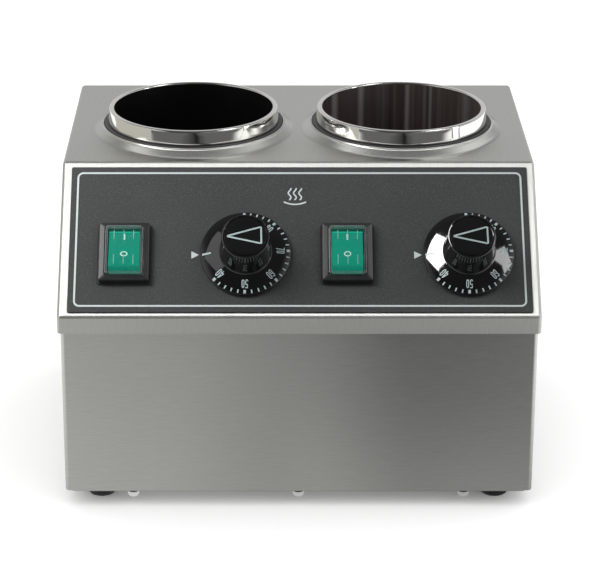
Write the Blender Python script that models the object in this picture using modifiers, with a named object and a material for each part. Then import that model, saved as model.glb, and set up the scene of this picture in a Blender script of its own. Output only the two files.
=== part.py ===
"""Countertop twin-well food warmer: sheet-steel case with a sloped control
panel, two lift-out pots in heated wells, two thermostat dials and two
illuminated rocker switches.  Units are metres, +Z up, front towards -Y."""
import math

import bmesh
import bpy
from mathutils import Matrix, Vector

for old in list(bpy.data.objects):
    bpy.data.objects.remove(old, do_unlink=True)

MM = 0.001

# ---------------------------------------------------------------- case
WIDTH = 270.0          # top cover, left to right
SHEET = 1.2            # steel thickness of cover, housing and floor
Y_FRONT = -118.55      # front face of the cover skirt
Y_BACK = 103.95        # rear face of the cover
SKIRT_Z = 108.0        # lower edge of the cover skirt
SLOPE_Z = 118.0        # bend between skirt and control panel
DECK_Y = -48.55        # bend between control panel and deck
DECK_Z = 185.4         # top of the deck
BEND_R = 3.0           # outside radius of the press-brake bends
SIDE_R = 2.5           # outside radius of the folds along the sides
BODY_GAP = 0.4         # clearance between cover skirt and housing
BODY_Z = 10.0          # lower edge of the housing
BODY_TOP = 116.0       # upper edge of the housing, inside the cover
BODY_R = 2.4           # outside radius of the housing's upright corners
FLANGE = 12.0          # inward bottom flange of the housing
FLOOR_INSET = 2.6      # floor plate inset from the housing
FLOOR_Z = 8.5          # underside of the floor plate

# ---------------------------------------------------------------- wells
WELL_X = 61.8          # half spacing of the wells
WELL_Y = 15.85
RIM_TOP = 13.4         # top of the pot rim above the deck
POT_R = 47.0           # inside radius of a pot
POT_T = 0.8
POT_FLOOR = -131.0     # inside floor of a pot below the deck
CAN_R = 49.8           # inside radius of the fixed well
CAN_T = 0.8
CAN_FLOOR = -134.5
COLLAR_R = 53.3        # hole in the deck
COLLAR_H = 4.2
LIFT = 0.16            # travel that takes a pot clear of its well
WELL_SEG = 32

# ---------------------------------------------------------------- panel
PANEL_A = math.atan2(DECK_Z - SLOPE_Z, DECK_Y - Y_FRONT)
OVERLAY_W = 259.4
OVERLAY_X = 0.4
OVERLAY_S0, OVERLAY_S1 = 4.0, 94.5     # distance down the slope
OVERLAY_T = 0.6
GAP = 0.3
DIAL_S = 59.4
DIAL_X = {"left": -30.0, "right": 95.1}
SWITCH_S = 59.1
SWITCH_X = {"left": -98.1, "right": 27.1}
KNOB_R = 25.5
HUB_R = 13.4
KNOB_TOP = 25.6
CAP_R = 11.8
SHAFT_R = 3.0
CUT_W, CUT_H = 22.0, 31.0              # switch cut-out
BEZEL_W, BEZEL_H, BEZEL_T = 28.2, 35.4, 5.9
LIP_W, LIP_H, LIP_T = 30.4, 37.4, 1.9    # seal lip round the bezel
ROCKER_W = 17.2
ROCKER_Z = -2.5                        # pivot depth under the panel face
ROCKER_TILT = math.radians(7.0)
DIAL_SEG = 32

SIDES = (("left", -1.0), ("right", 1.0))


def collection(name, hidden=False):
    c = bpy.data.collections.new(name)
    bpy.context.scene.collection.children.link(c)
    c.hide_render = hidden
    return c


PARTS = collection("twin_well_warmer")
CUTTERS = collection("cutters", True)


def material(name, rgb, rough=0.4, metal=0.0, alpha=1.0):
    m = bpy.data.materials.new(name)
    m.use_nodes = True
    b = m.node_tree.nodes["Principled BSDF"]
    b.inputs["Base Color"].default_value = (*rgb, 1.0)
    b.inputs["Roughness"].default_value = rough
    b.inputs["Metallic"].default_value = metal
    b.inputs["Alpha"].default_value = alpha
    m.diffuse_color = (*rgb, alpha)
    return m


STEEL = (0.55, 0.55, 0.53)
BLACK = (0.012, 0.012, 0.013)


# ------------------------------------------------------------ solids
def evaluated(ob):
    """The object's mesh as its modifiers leave it; the object is used up."""
    data = ob.data
    dg = bpy.context.evaluated_depsgraph_get()
    me = bpy.data.meshes.new_from_object(ob.evaluated_get(dg))
    bm = bmesh.new()
    bm.from_mesh(me)
    bmesh.ops.remove_doubles(bm, verts=bm.verts, dist=1e-7)
    bpy.data.meshes.remove(me)
    bpy.data.objects.remove(ob, do_unlink=True)
    if isinstance(data, bpy.types.Curve):
        bpy.data.curves.remove(data)
    else:
        bpy.data.meshes.remove(data)
    return bm


def prism(points, z0, z1):
    """Flat outline, filled and extruded: a 2-D curve made into a mesh."""
    cu = bpy.data.curves.new("outline", "CURVE")
    cu.dimensions = "2D"
    cu.fill_mode = "BOTH"
    cu.extrude = (z1 - z0) / 2 * MM
    sp = cu.splines.new("POLY")
    sp.points.add(len(points) - 1)
    for pt, (x, y) in zip(sp.points, points):
        pt.co = (x * MM, y * MM, 0.0, 1.0)
    sp.use_cyclic_u = True
    ob = bpy.data.objects.new("outline", cu)
    CUTTERS.objects.link(ob)
    bm = evaluated(ob)
    bm.normal_update()
    for side in (-1, 1):
        cap = [f for f in bm.faces if f.normal.z * side > 0.9]
        bmesh.ops.dissolve_faces(bm, faces=cap, use_verts=False)
    bmesh.ops.translate(bm, vec=(0, 0, (z0 + z1) / 2 * MM), verts=bm.verts)
    return bm


def lathe(profile, seg, closed=True):
    """Turned solid: a profile of (radius, height) points with a Screw."""
    bm = bmesh.new()
    vs = [bm.verts.new((r * MM, 0, z * MM)) for r, z in profile]
    pairs = list(zip(vs, vs[1:])) + ([(vs[-1], vs[0])] if closed else [])
    for pair in pairs:
        bm.edges.new(pair)
    me = bpy.data.meshes.new("profile")
    bm.to_mesh(me)
    bm.free()
    ob = bpy.data.objects.new("profile", me)
    CUTTERS.objects.link(ob)
    m = ob.modifiers.new("turn", "SCREW")
    m.axis = "Z"
    m.steps = m.render_steps = seg
    m.use_merge_vertices = True
    m.merge_threshold = 1e-6
    return evaluated(ob)


def block(x0, x1, y0, y1, z0, z1):
    bm = bmesh.new()
    bmesh.ops.create_cube(bm, size=1.0, matrix=Matrix.Translation(
        Vector((x0 + x1, y0 + y1, z0 + z1)) * MM / 2) @ Matrix.Diagonal(
        Vector(((x1 - x0) * MM, (y1 - y0) * MM, (z1 - z0) * MM, 1.0))))
    return bm


def rod(r, n, z0, z1, cx=0.0, cy=0.0):
    """Upright cylinder with n sides."""
    bm = bmesh.new()
    bmesh.ops.create_cone(bm, cap_ends=True, segments=n, radius1=r * MM,
                          radius2=r * MM, depth=(z1 - z0) * MM,
                          matrix=Matrix.Translation(
                              Vector((cx, cy, (z0 + z1) / 2)) * MM))
    return bm


def merge(*parts):
    """One mesh out of several separate closed shells."""
    out = bmesh.new()
    for bm in parts:
        me = bpy.data.meshes.new("tmp")
        bm.to_mesh(me)
        bm.free()
        out.from_mesh(me)
        bpy.data.meshes.remove(me)
    return out


def rounded(points, radii, seg=4):
    """Outline with its corners replaced by arcs."""
    out = []
    n = len(points)
    for i, (px, py) in enumerate(points):
        r = radii[i] if isinstance(radii, (list, tuple)) else radii
        p = Vector((px, py))
        if r <= 0:
            out.append((px, py))
            continue
        a = (Vector(points[i - 1]) - p).normalized()
        b = (Vector(points[(i + 1) % n]) - p).normalized()
        half = a.angle(b) / 2
        d = r / math.tan(half)
        c = p + (a + b).normalized() * (r / math.sin(half))
        s, e = p + a * d - c, p + b * d - c
        turn = s.angle_signed(e)
        for k in range(seg + 1):
            t = -turn * k / seg
            q = Vector((s.x * math.cos(t) - s.y * math.sin(t),
                        s.x * math.sin(t) + s.y * math.cos(t)))
            out.append((c.x + q.x, c.y + q.y))
    return out


def rect(w, h, r=0.0, cx=0.0, cy=0.0, seg=4):
    pts = [(cx - w / 2, cy - h / 2), (cx + w / 2, cy - h / 2),
           (cx + w / 2, cy + h / 2), (cx - w / 2, cy + h / 2)]
    return rounded(pts, r, seg) if r > 0 else pts


def c_ring(r_in, r_out, gap, lug=0.0, lug_t=0.0, n=36):
    """Open ring whose gap faces -Y, with optional clamp lugs."""
    xo = gap + lug_t
    a_o = math.asin(xo / r_out)
    a_i = math.asin(gap / r_in)
    pts = []
    for k in range(n + 1):
        a = -math.pi / 2 + a_o + (2 * math.pi - 2 * a_o) * k / n
        pts.append((r_out * math.cos(a), r_out * math.sin(a)))
    if lug > 0:
        pts += [(-xo, -(r_out + lug)), (-gap, -(r_out + lug))]
    for k in range(n + 1):
        a = -math.pi / 2 - a_i - (2 * math.pi - 2 * a_i) * k / n
        pts.append((r_in * math.cos(a), r_in * math.sin(a)))
    if lug > 0:
        pts += [(gap, -(r_out + lug)), (xo, -(r_out + lug))]
    return pts


def place(name, bm, mat=None, xf=None, origin=None, coll=None):
    """Object from a bmesh; origin is given in world millimetres."""
    if xf is not None:
        bmesh.ops.transform(bm, matrix=xf, verts=bm.verts)
    bmesh.ops.recalc_face_normals(bm, faces=bm.faces)
    o = Vector(origin) * MM if origin is not None else Vector((0, 0, 0))
    bmesh.ops.translate(bm, vec=-o, verts=bm.verts)
    me = bpy.data.meshes.new(name)
    bm.to_mesh(me)
    bm.free()
    ob = bpy.data.objects.new(name, me)
    ob.location = o
    (coll or PARTS).objects.link(ob)
    me.shade_smooth()
    me.set_sharp_from_angle(angle=math.radians(35))
    if mat:
        me.materials.append(mat)
    return ob


def boolean(ob, tag, bm, op="DIFFERENCE", xf=None):
    cutter = place(f"{ob.name}_{tag}", bm, xf=xf, coll=CUTTERS)
    cutter.hide_render = True
    cutter.display_type = "WIRE"
    m = ob.modifiers.new(tag, "BOOLEAN")
    m.solver = "EXACT"
    m.operation = op
    m.object = cutter
    return m


def bevel(ob, width, seg=2, angle=35.0):
    m = ob.modifiers.new("bevel", "BEVEL")
    m.width = width * MM
    m.segments = seg
    m.limit_method = "ANGLE"
    m.angle_limit = math.radians(angle)
    m.use_clamp_overlap = True
    return m


def at(x, y, z=0.0):
    return Matrix.Translation(Vector((x, y, z)) * MM)


ALONG_X = Matrix(((0, 0, 1, 0), (1, 0, 0, 0), (0, 1, 0, 0), (0, 0, 0, 1)))
ALONG_Y = Matrix(((1, 0, 0, 0), (0, 0, 1, 0), (0, -1, 0, 0), (0, 0, 0, 1)))
CA, SA = math.cos(PANEL_A), math.sin(PANEL_A)


def panel(x=0.0, s=0.0, z=0.0):
    """Frame on the control panel: +y up the slope, +z out of it."""
    o = Vector((x, DECK_Y - s * CA - z * SA, DECK_Z - s * SA + z * CA)) * MM
    return Matrix(((1, 0, 0, o.x), (0, CA, -SA, o.y),
                   (0, SA, CA, o.z), (0, 0, 0, 1)))


def panel_point(x, s, z):
    return panel(x, s, z).translation / MM


# ------------------------------------------------------------ top cover
def cover_solid(inset, r_bend, r_side, drop):
    """Folded cover envelope, shrunk by the sheet thickness for the inside."""
    t = inset
    half = WIDTH / 2 - t
    # offset the two bends along their bisectors
    k1 = t * math.tan(PANEL_A / 2)
    k0 = t * math.tan((math.pi / 2 - PANEL_A) / 2)
    pts = [(Y_FRONT + t, SKIRT_Z - drop), (Y_FRONT + t, SLOPE_Z - k0),
           (DECK_Y + k1, DECK_Z - t), (Y_BACK - t, DECK_Z - t),
           (Y_BACK - t, SKIRT_Z - drop)]
    outline = rounded(pts, [0, r_bend, r_bend, r_bend, 0], 4)
    bm = prism(outline, -half, half)
    low = (SKIRT_Z - drop) * MM + 1e-6
    ends = []
    for e in bm.edges:
        a, b = e.verts
        if abs(a.co.z - b.co.z) < 1e-9 and not (a.co.y < low and b.co.y < low):
            ends.append(e)
    bmesh.ops.bevel(bm, geom=ends, offset=r_side * MM, offset_type="OFFSET",
                    segments=3, profile=0.5, affect="EDGES", clamp_overlap=False)
    bmesh.ops.transform(bm, matrix=ALONG_X, verts=bm.verts)
    return bm


def collar_curve(off=0.0, r_edge=0.0):
    """Drawn cone from the flat deck up to the well collar."""
    return [(r - off * 0.3, z - off) for r, z in
            ((59.9, 0.06), (59.0, 0.40), (54.7, 3.05), (54.0, COLLAR_H - 0.1))]


cover = place("top_cover", cover_solid(0.0, BEND_R, SIDE_R, 0.0),
              material("cover_steel", STEEL, 0.3, 1.0))
boolean(cover, "inside", cover_solid(SHEET, BEND_R - SHEET, SIDE_R - SHEET, 6.0))
rings, hollows = [], []
for side, sx in SIDES:
    fillet = collar_curve()
    ring = ([(60.0, -0.4)] + fillet
            + [(53.7, COLLAR_H + 0.05), (COLLAR_R - 1.5, COLLAR_H + 0.05),
               (COLLAR_R - 1.5, -0.4)])
    bm = lathe(ring, WELL_SEG)
    bmesh.ops.translate(bm, vec=Vector((sx * WELL_X, WELL_Y, DECK_Z)) * MM,
                        verts=bm.verts)
    rings.append(bm)
    # hole with the hollow side of the drawn collar under it
    under = [(0, -4.0), (59.2, -4.0), (59.2, -SHEET)]
    under += [(r - 0.5, z - SHEET) for r, z in fillet[1:]]
    under += [(COLLAR_R, COLLAR_H - SHEET - 0.1),
              (COLLAR_R, COLLAR_H + 3), (0, COLLAR_H + 3)]
    bm = lathe(under, WELL_SEG, closed=False)
    bmesh.ops.translate(bm, vec=Vector((sx * WELL_X, WELL_Y, DECK_Z)) * MM,
                        verts=bm.verts)
    hollows.append(bm)
boolean(cover, "collars", merge(*rings), "UNION")
cuts = list(hollows)
for side, sx in SIDES:
    bm = prism(rect(CUT_W, CUT_H, 0.8), -6, 6)
    bmesh.ops.transform(bm, matrix=panel(SWITCH_X[side], SWITCH_S), verts=bm.verts)
    cuts.append(bm)
    bm = rod(5.6, 18, -6, 6)
    bmesh.ops.transform(bm, matrix=panel(DIAL_X[side], DIAL_S), verts=bm.verts)
    cuts.append(bm)
    bm = rod(2.4, 14, Y_BACK - 6, Y_BACK + 6, sx * 90.0, -(SKIRT_Z + 4.0))
    bmesh.ops.transform(bm, matrix=ALONG_Y, verts=bm.verts)
    cuts.append(bm)
boolean(cover, "openings", merge(*cuts))

# ------------------------------------------------------------ housing
HX = WIDTH / 2 - SHEET - BODY_GAP
HY0 = Y_FRONT + SHEET + BODY_GAP
HY1 = Y_BACK - SHEET - BODY_GAP
SCREW_X = (-94.7, 0.0, 94.7)
SCREW_Y = {"front": -111.85, "rear": 97.05}
GLAND_X, GLAND_Z = 88.0, 32.0


def housing_outline(inset, r):
    x, y0, y1 = HX - inset, HY0 + inset, HY1 - inset
    pts = [(-x, y0), (x, y0), (x, y1), (-x, y1)]
    return rounded(pts, r, 4) if r > 0 else pts


housing = place("lower_housing", prism(housing_outline(0, BODY_R), BODY_Z, BODY_TOP),
                material("housing_steel", STEEL, 0.34, 1.0))
boolean(housing, "inside", prism(housing_outline(SHEET, BODY_R - SHEET),
                                 BODY_Z + SHEET, BODY_TOP + 5))
cuts = [prism(housing_outline(FLANGE, 3.0), BODY_Z - 4, BODY_Z + SHEET + 1)]
for row, y in SCREW_Y.items():
    for x in SCREW_X:
        cuts.append(rod(2.45, 14, BODY_Z - 4, BODY_Z + 4, x, y))
for side, sx in SIDES:
    bm = rod(2.4, 14, HY1 - 5, HY1 + 5, sx * 90.0, -(SKIRT_Z + 4.0))
    bmesh.ops.transform(bm, matrix=ALONG_Y, verts=bm.verts)
    cuts.append(bm)
bm = rod(8.4, 20, HY1 - 5, HY1 + 5, GLAND_X, -GLAND_Z)
bmesh.ops.transform(bm, matrix=ALONG_Y, verts=bm.verts)
cuts.append(bm)
boolean(housing, "openings", merge(*cuts))

floor = place("bottom_plate", prism(housing_outline(FLOOR_INSET, 3.0), FLOOR_Z,
                                    FLOOR_Z + SHEET),
              material("floor_steel", (0.42, 0.42, 0.41), 0.4, 1.0))
boolean(floor, "holes", merge(*[rod(2.45, 14, FLOOR_Z - 3, FLOOR_Z + 4, x, y)
                                for y in SCREW_Y.values() for x in SCREW_X]))

# screws that hold the floor plate
HEAD = [(0, -4.1), (2.6, -4.1), (3.35, -3.2), (3.35, -0.3), (2.0, -0.3), (2.0, 8.5),
        (0, 9.0)]
n = 0
for row, y in SCREW_Y.items():
    for tag, x in zip(("left", "middle", "right"), SCREW_X):
        ob = place(f"{row}_{tag}_screw", lathe(HEAD, 14, closed=False),
                   material(f"screw_{row}_{tag}", (0.6, 0.6, 0.58), 0.25, 1.0),
                   at(x, y, FLOOR_Z))
        boolean(ob, "slot", merge(block(x - 2.2, x + 2.2, y - 0.45, y + 0.45,
                                        FLOOR_Z - 6, FLOOR_Z - 3.0)))
for side, sx in SIDES:
    prof = [(0, -2.6), (2.6, -2.2), (3.6, -1.0), (3.6, -0.3), (1.9, -0.3), (1.9, 8.5),
            (0, 9.0)]
    bm = lathe(prof, 14, closed=False)
    xf = (Matrix.Translation(Vector((sx * 90.0, Y_BACK, SKIRT_Z + 4.0)) * MM)
          @ Matrix.Rotation(math.radians(90), 4, "X"))
    place(f"back_{side}_screw", bm,
          material(f"screw_back_{side}", (0.6, 0.6, 0.58), 0.25, 1.0), xf)

# feet
FOOT = [(2.3, 3.4), (4.3, 3.4), (4.3, 0.0), (7.1, 0.0), (8.3, 1.6), (8.3, 8.2),
        (2.3, 8.2)]
for row, y in (("front", -96.35), ("rear", 81.75)):
    for side, sx in SIDES:
        place(f"{row}_{side}_foot", lathe(FOOT, 18),
              material(f"rubber_{row}_{side}", (0.02, 0.02, 0.02), 0.75),
              at(sx * 113.7, y, 0.0))

# ------------------------------------------------------------ wells and pots
for side, sx in SIDES:
    xf = at(sx * WELL_X, WELL_Y, DECK_Z)
    ro, zf = CAN_R + CAN_T, CAN_FLOOR - CAN_T
    can = [(0, CAN_FLOOR), (CAN_R - 4, CAN_FLOOR), (CAN_R, CAN_FLOOR + 4), (CAN_R, 3.4),
           (ro, 3.4), (ro, -1.6), (59.0, -1.6), (59.0, -2.4), (ro, -2.4),
           (ro, CAN_FLOOR + 3.7), (CAN_R - 3.7, zf), (0, zf)]
    place(f"{side}_well", lathe(can, WELL_SEG, closed=False),
          material(f"{side}_well_steel", (0.45, 0.45, 0.44), 0.35, 1.0), xf)
    ring = [(50.95, -1.0), (52.95, -1.0), (52.95, 4.7), (49.6, 4.7), (49.6, 3.8),
            (50.95, 3.8)]
    place(f"{side}_gasket", lathe(ring, WELL_SEG),
          material(f"{side}_silicone", (0.03, 0.03, 0.032), 0.6), xf)
    # pot: inside wall, rolled rim with a turned-down band, outside wall
    rp = POT_R + POT_T
    prof = [(0, POT_FLOOR), (POT_R - 7, POT_FLOOR), (POT_R - 2.1, POT_FLOOR + 2.1),
            (POT_R, POT_FLOOR + 7), (POT_R, 12.5), (POT_R + 0.8, RIM_TOP),
            (49.2, RIM_TOP), (50.0, 12.5), (50.8, 5.05), (49.7, 5.05), (48.95, 12.0),
            (rp, 12.0), (rp, POT_FLOOR + 6.8), (rp - 2.2, POT_FLOOR + 1.4),
            (rp - 7.4, POT_FLOOR - 1.0), (0, POT_FLOOR - 1.0)]
    tone = (0.02, 0.02, 0.02) if side == "left" else (0.5, 0.5, 0.48)
    place(f"{side}_pot", lathe(prof, WELL_SEG, closed=False),
          material(f"{side}_pot_finish", tone, 0.25, 0.0 if side == "left" else 1.0),
          xf, origin=(sx * WELL_X, WELL_Y, DECK_Z))
    place(f"{side}_heater_band",
          prism(c_ring(ro + 0.8, ro + 2.1, 5.0, 7.0, 1.2), -120.0, -75.0),
          material(f"{side}_mica", (0.36, 0.30, 0.22), 0.5, 0.3), xf)
    place(f"{side}_insulation", prism(c_ring(ro + 3.2, 58.4, 16.0), -133.5, -3.0),
          material(f"{side}_fibre", (0.75, 0.73, 0.66), 0.9), xf)
    # thermal cut-out clipped under the well
    cut = lathe([(0, -9.0), (7.6, -9.0), (7.6, -2.6), (8.6, -2.4), (8.6, -0.4),
                 (0, -0.4)], 18, closed=False)
    ob = place(f"{side}_thermal_cutout", cut,
               material(f"{side}_phenolic", (0.10, 0.06, 0.04), 0.5),
               at(sx * WELL_X, WELL_Y, DECK_Z + zf))
    boolean(ob, "blades", merge(*[block(dx - 0.4, dx + 0.4, -3.1, 3.1, -17.0, -8.0)
                                  for dx in (-4.0, 4.0)]), "UNION",
            at(sx * WELL_X, WELL_Y, DECK_Z + zf))

# ------------------------------------------------------------ control panel
mid = (OVERLAY_S0 + OVERLAY_S1) / 2
overlay = place("control_overlay",
                prism(rect(OVERLAY_W, OVERLAY_S1 - OVERLAY_S0, 1.0, seg=3), GAP,
                      GAP + OVERLAY_T),
                material("overlay_grey", (0.06, 0.06, 0.065), 0.5), panel(OVERLAY_X, mid))
cuts = []
for side, sx in SIDES:
    bm = prism(rect(CUT_W, CUT_H, 0.8), -2, 3)
    bmesh.ops.transform(bm, matrix=panel(SWITCH_X[side], SWITCH_S), verts=bm.verts)
    cuts.append(bm)
    bm = rod(5.6, 18, -2, 3)
    bmesh.ops.transform(bm, matrix=panel(DIAL_X[side], DIAL_S), verts=bm.verts)
    cuts.append(bm)
boolean(overlay, "openings", merge(*cuts))


def smooth_path(points, per=6):
    """Catmull-Rom path through (x, y, z, radius) points."""
    ps = [Vector(p[:3]) for p in points]
    rs = [p[3] for p in points]
    out = []
    for i in range(len(ps) - 1):
        p0 = ps[max(i - 1, 0)]
        p1, p2 = ps[i], ps[i + 1]
        p3 = ps[min(i + 2, len(ps) - 1)]
        for k in range(per):
            t = k / per
            v = 0.5 * ((2 * p1) + (p2 - p0) * t + (2 * p0 - 5 * p1 + 4 * p2 - p3) * t * t
                       + (3 * p1 - p0 - 3 * p2 + p3) * t ** 3)
            out.append((v, rs[i] + (rs[i + 1] - rs[i]) * t))
    out.append((ps[-1], rs[-1]))
    return out


def tube(name, path, mat, sides=8):
    cu = bpy.data.curves.new(name, "CURVE")
    cu.dimensions = "3D"
    cu.bevel_depth = 1.0 * MM
    cu.bevel_resolution = (sides - 4) // 2
    cu.use_fill_caps = True
    cu.twist_mode = "MINIMUM"
    sp = cu.splines.new("POLY")
    sp.points.add(len(path) - 1)
    for pt, (v, r) in zip(sp.points, path):
        pt.co = (*(v * MM), 1.0)
        pt.radius = r
    tmp = bpy.data.objects.new(name + "_path", cu)
    CUTTERS.objects.link(tmp)
    dg = bpy.context.evaluated_depsgraph_get()
    me = bpy.data.meshes.new_from_object(tmp.evaluated_get(dg))
    bm = bmesh.new()
    bm.from_mesh(me)
    bmesh.ops.remove_doubles(bm, verts=bm.verts, dist=1e-7)
    bpy.data.meshes.remove(me)
    bpy.data.objects.remove(tmp, do_unlink=True)
    return place(name, bm, mat)


for side, sx in SIDES:
    kx = DIAL_X[side]
    xf = panel(kx, DIAL_S)
    pivot = panel_point(kx, DIAL_S, 0.0)
    # skirted dial: underside recess, blind bore, flared hub, cap recess
    prof = [(3.35, 1.9), (5.4, 1.9), (5.4, 2.9), (23.8, 2.9), (24.4, 1.9),
            (KNOB_R, 1.9), (KNOB_R, 3.4), (14.9, 5.95), (14.0, 7.2),
            (HUB_R, KNOB_TOP - 1.0), (HUB_R - 0.8, KNOB_TOP), (CAP_R + 0.35, KNOB_TOP),
            (CAP_R + 0.35, KNOB_TOP - 1.4), (0, KNOB_TOP - 1.4)]
    bore = [(0, 16.5), (3.35, 16.5)]
    place(f"{side}_knob", lathe(bore + prof, DIAL_SEG, closed=False),
          material(f"{side}_knob_black", BLACK, 0.12), xf, origin=pivot)
    place(f"{side}_knob_cap",
          rod(CAP_R, DIAL_SEG, KNOB_TOP - 1.05, KNOB_TOP),
          material(f"{side}_cap_black", BLACK, 0.12), xf, origin=pivot)
    ob = place(f"{side}_spindle", rod(SHAFT_R, 16, -13.5, 16.0),
               material(f"{side}_spindle_steel", (0.6, 0.6, 0.58), 0.3, 1.0), xf,
               origin=pivot)
    boolean(ob, "flat", block(-4, 4, 1.6, 6, 4.0, 18.0), "DIFFERENCE", xf)
    # thermostat: case, threaded bushing, blade terminals, capillary
    ob = place(f"{side}_thermostat",
               prism(rect(36.0, 34.0, 2.0), -30.0, -2.5),
               material(f"{side}_thermostat_case", (0.5, 0.48, 0.44), 0.5, 0.2), xf)
    boolean(ob, "bushing", rod(5.0, 16, -4.0, 1.2), "UNION", xf)
    boolean(ob, "bore", rod(3.4, 16, -14.2, 4.0), "DIFFERENCE", xf)
    boolean(ob, "blades", merge(*[block(dx - 3.1, dx + 3.1, dy - 0.4, dy + 0.4,
                                        -37.0, -29.0)
                                  for dx in (-9.0, 9.0) for dy in (-8.0, 8.0)]),
            "UNION", xf)
    exit_ = panel_point(kx - sx * 18.6, DIAL_S - 4.0, -20.0)
    if side == "left":
        exit_ = panel_point(kx - 18.6, DIAL_S - 4.0, -20.0)
    bx, by = sx * WELL_X, WELL_Y - (CAN_R + CAN_T + 0.4 + 3.0)
    step = -6.0
    path = [(bx, by, DECK_Z - 68.0, 3.0), (bx, by, DECK_Z - 40.0, 3.0),
            (bx, by, DECK_Z - 20.0, 3.0), (bx, by, DECK_Z - 18.0, 0.8),
            (bx, by - 1.0, DECK_Z - 14.0, 0.8)]
    path += [(bx + (exit_.x - bx) * 0.35 + step * 0.5, by - 6.0, DECK_Z - 17.0, 0.8),
             (exit_.x + step * 1.2, (by + exit_.y) / 2 + 2.0, (DECK_Z - 20.0 + exit_.z) / 2 - 2.0, 0.8),
             (exit_.x + step, exit_.y, exit_.z, 0.8),
             (exit_.x - 0.0, exit_.y, exit_.z, 0.8)]
    tube(f"{side}_capillary", smooth_path(path, 3),
         material(f"{side}_copper", (0.55, 0.32, 0.2), 0.35, 1.0), 6)

    # rocker switch
    cx = SWITCH_X[side]
    xf = panel(cx, SWITCH_S)
    ob = place(f"{side}_switch_body", prism(rect(21.2, 30.2, 0.6, seg=2), -25.0, 0.9),
               material(f"{side}_switch_nylon", (0.02, 0.02, 0.02), 0.45), xf)
    boolean(ob, "pocket", prism(rect(18.4, 27.6), -9.8, 4.0), "DIFFERENCE", xf)
    pin = rod(1.9, 16, -12.5, 12.5, 0.0, ROCKER_Z)
    boolean(ob, "bearings", pin, "DIFFERENCE", xf @ ALONG_X)
    boolean(ob, "blades", merge(*[block(dx - 3.1, dx + 3.1, dy - 0.4, dy + 0.4,
                                        -33.0, -24.0)
                                  for dx in (-5.2, 5.2) for dy in (-9.5, 0.0, 9.5)]),
            "UNION", xf)
    ob = place(f"{side}_switch_bezel",
               prism(rect(BEZEL_W, BEZEL_H, 0.8, seg=2), GAP * 2 + OVERLAY_T, BEZEL_T),
               material(f"{side}_bezel_black", (0.02, 0.02, 0.022), 0.35), xf)
    boolean(ob, "lip", prism(rect(LIP_W, LIP_H, 2.0, seg=3), GAP * 2 + OVERLAY_T, LIP_T),
            "UNION", xf)
    boolean(ob, "window", prism(rect(18.8, 27.8, 0.4, seg=2), -1, BEZEL_T + 2),
            "DIFFERENCE", xf)
    bevel(ob, 0.5, 1, 50.0)
    # rocker, modelled level and then tipped into its first position
    out = [(-11.2, 6.5)]
    for k in range(1, 6):
        y = -11.2 + 22.4 * k / 6
        out.append((y, 5.3 + 1.2 * (y / 11.2) ** 2))
    out += [(11.2, 6.5), (12.3, 2.0), (12.0, -2.0), (8.0, -7.5), (-8.0, -7.5),
            (-12.0, -2.0), (-12.3, 2.0)]
    bm = prism(out, -ROCKER_W / 2, ROCKER_W / 2)
    bmesh.ops.transform(bm, matrix=ALONG_X, verts=bm.verts)
    tip = (Matrix.Translation((0, 0, ROCKER_Z * MM))
           @ Matrix.Rotation(-ROCKER_TILT, 4, "X")
           @ Matrix.Translation((0, 0, -ROCKER_Z * MM)))
    ob = place(f"{side}_rocker", bm,
               material(f"{side}_rocker_green", (0.0, 0.32, 0.2), 0.25), xf @ tip,
               origin=panel_point(cx, SWITCH_S, ROCKER_Z))
    boolean(ob, "axle", rod(1.45, 16, -10.1, 10.1, 0.0, ROCKER_Z), "UNION",
            xf @ ALONG_X)
    # clear splash cover: raised box with a foot flange
    ob = place(f"{side}_splash_cover", prism(rect(20.6, 28.8, 1.4, seg=3), 6.2, 9.9),
               material(f"{side}_clear", (0.8, 0.85, 0.85), 0.1, 0.0, 0.35), xf)
    boolean(ob, "inside", prism(rect(18.8, 27.2, 0.8, seg=3), 4.0, 9.1),
            "DIFFERENCE", xf)

# ------------------------------------------------------------ supply entry
GY = Matrix.Translation(Vector((GLAND_X, HY1, GLAND_Z)) * MM) @ Matrix.Rotation(
    math.radians(-90), 4, "X")
body = [(0, -12.0), (7.9, -12.0), (7.9, 7.6), (6.9, 10.6), (0, 10.6)]
gland = place("gland_body", lathe(body, 20, closed=False),
              material("gland_nylon", (0.02, 0.02, 0.02), 0.5), GY)
boolean(gland, "hex", merge(*[rod(10.8, 6, 0.4, 5.0)]), "UNION", GY)
boolean(gland, "bore", rod(4.2, 20, -15, 14), "DIFFERENCE", GY)
dome = [(0, 5.4), (10.2, 5.4), (10.2, 10.5), (8.6, 14.4), (6.0, 16.2), (0, 16.2)]
throat = [(0, 3.0), (8.5, 3.0), (8.5, 11.4), (4.7, 13.0), (4.7, 20.0), (0, 20.0)]
dome_nut = place("gland_dome_nut", lathe(dome, 20, closed=False),
                 material("dome_nylon", (0.02, 0.02, 0.02), 0.5), GY)
boolean(dome_nut, "flats", rod(11.6, 6, 5.4, 10.0), "UNION", GY)
boolean(dome_nut, "throat", lathe(throat, 20, closed=False), "DIFFERENCE", GY)
lock = place("gland_lock_nut", rod(11.0, 6, -6.6, -SHEET - 0.4),
             material("lock_nylon", (0.02, 0.02, 0.02), 0.5), GY)
boolean(lock, "thread", rod(8.4, 20, -9.0, 2.0), "DIFFERENCE", GY)

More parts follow.
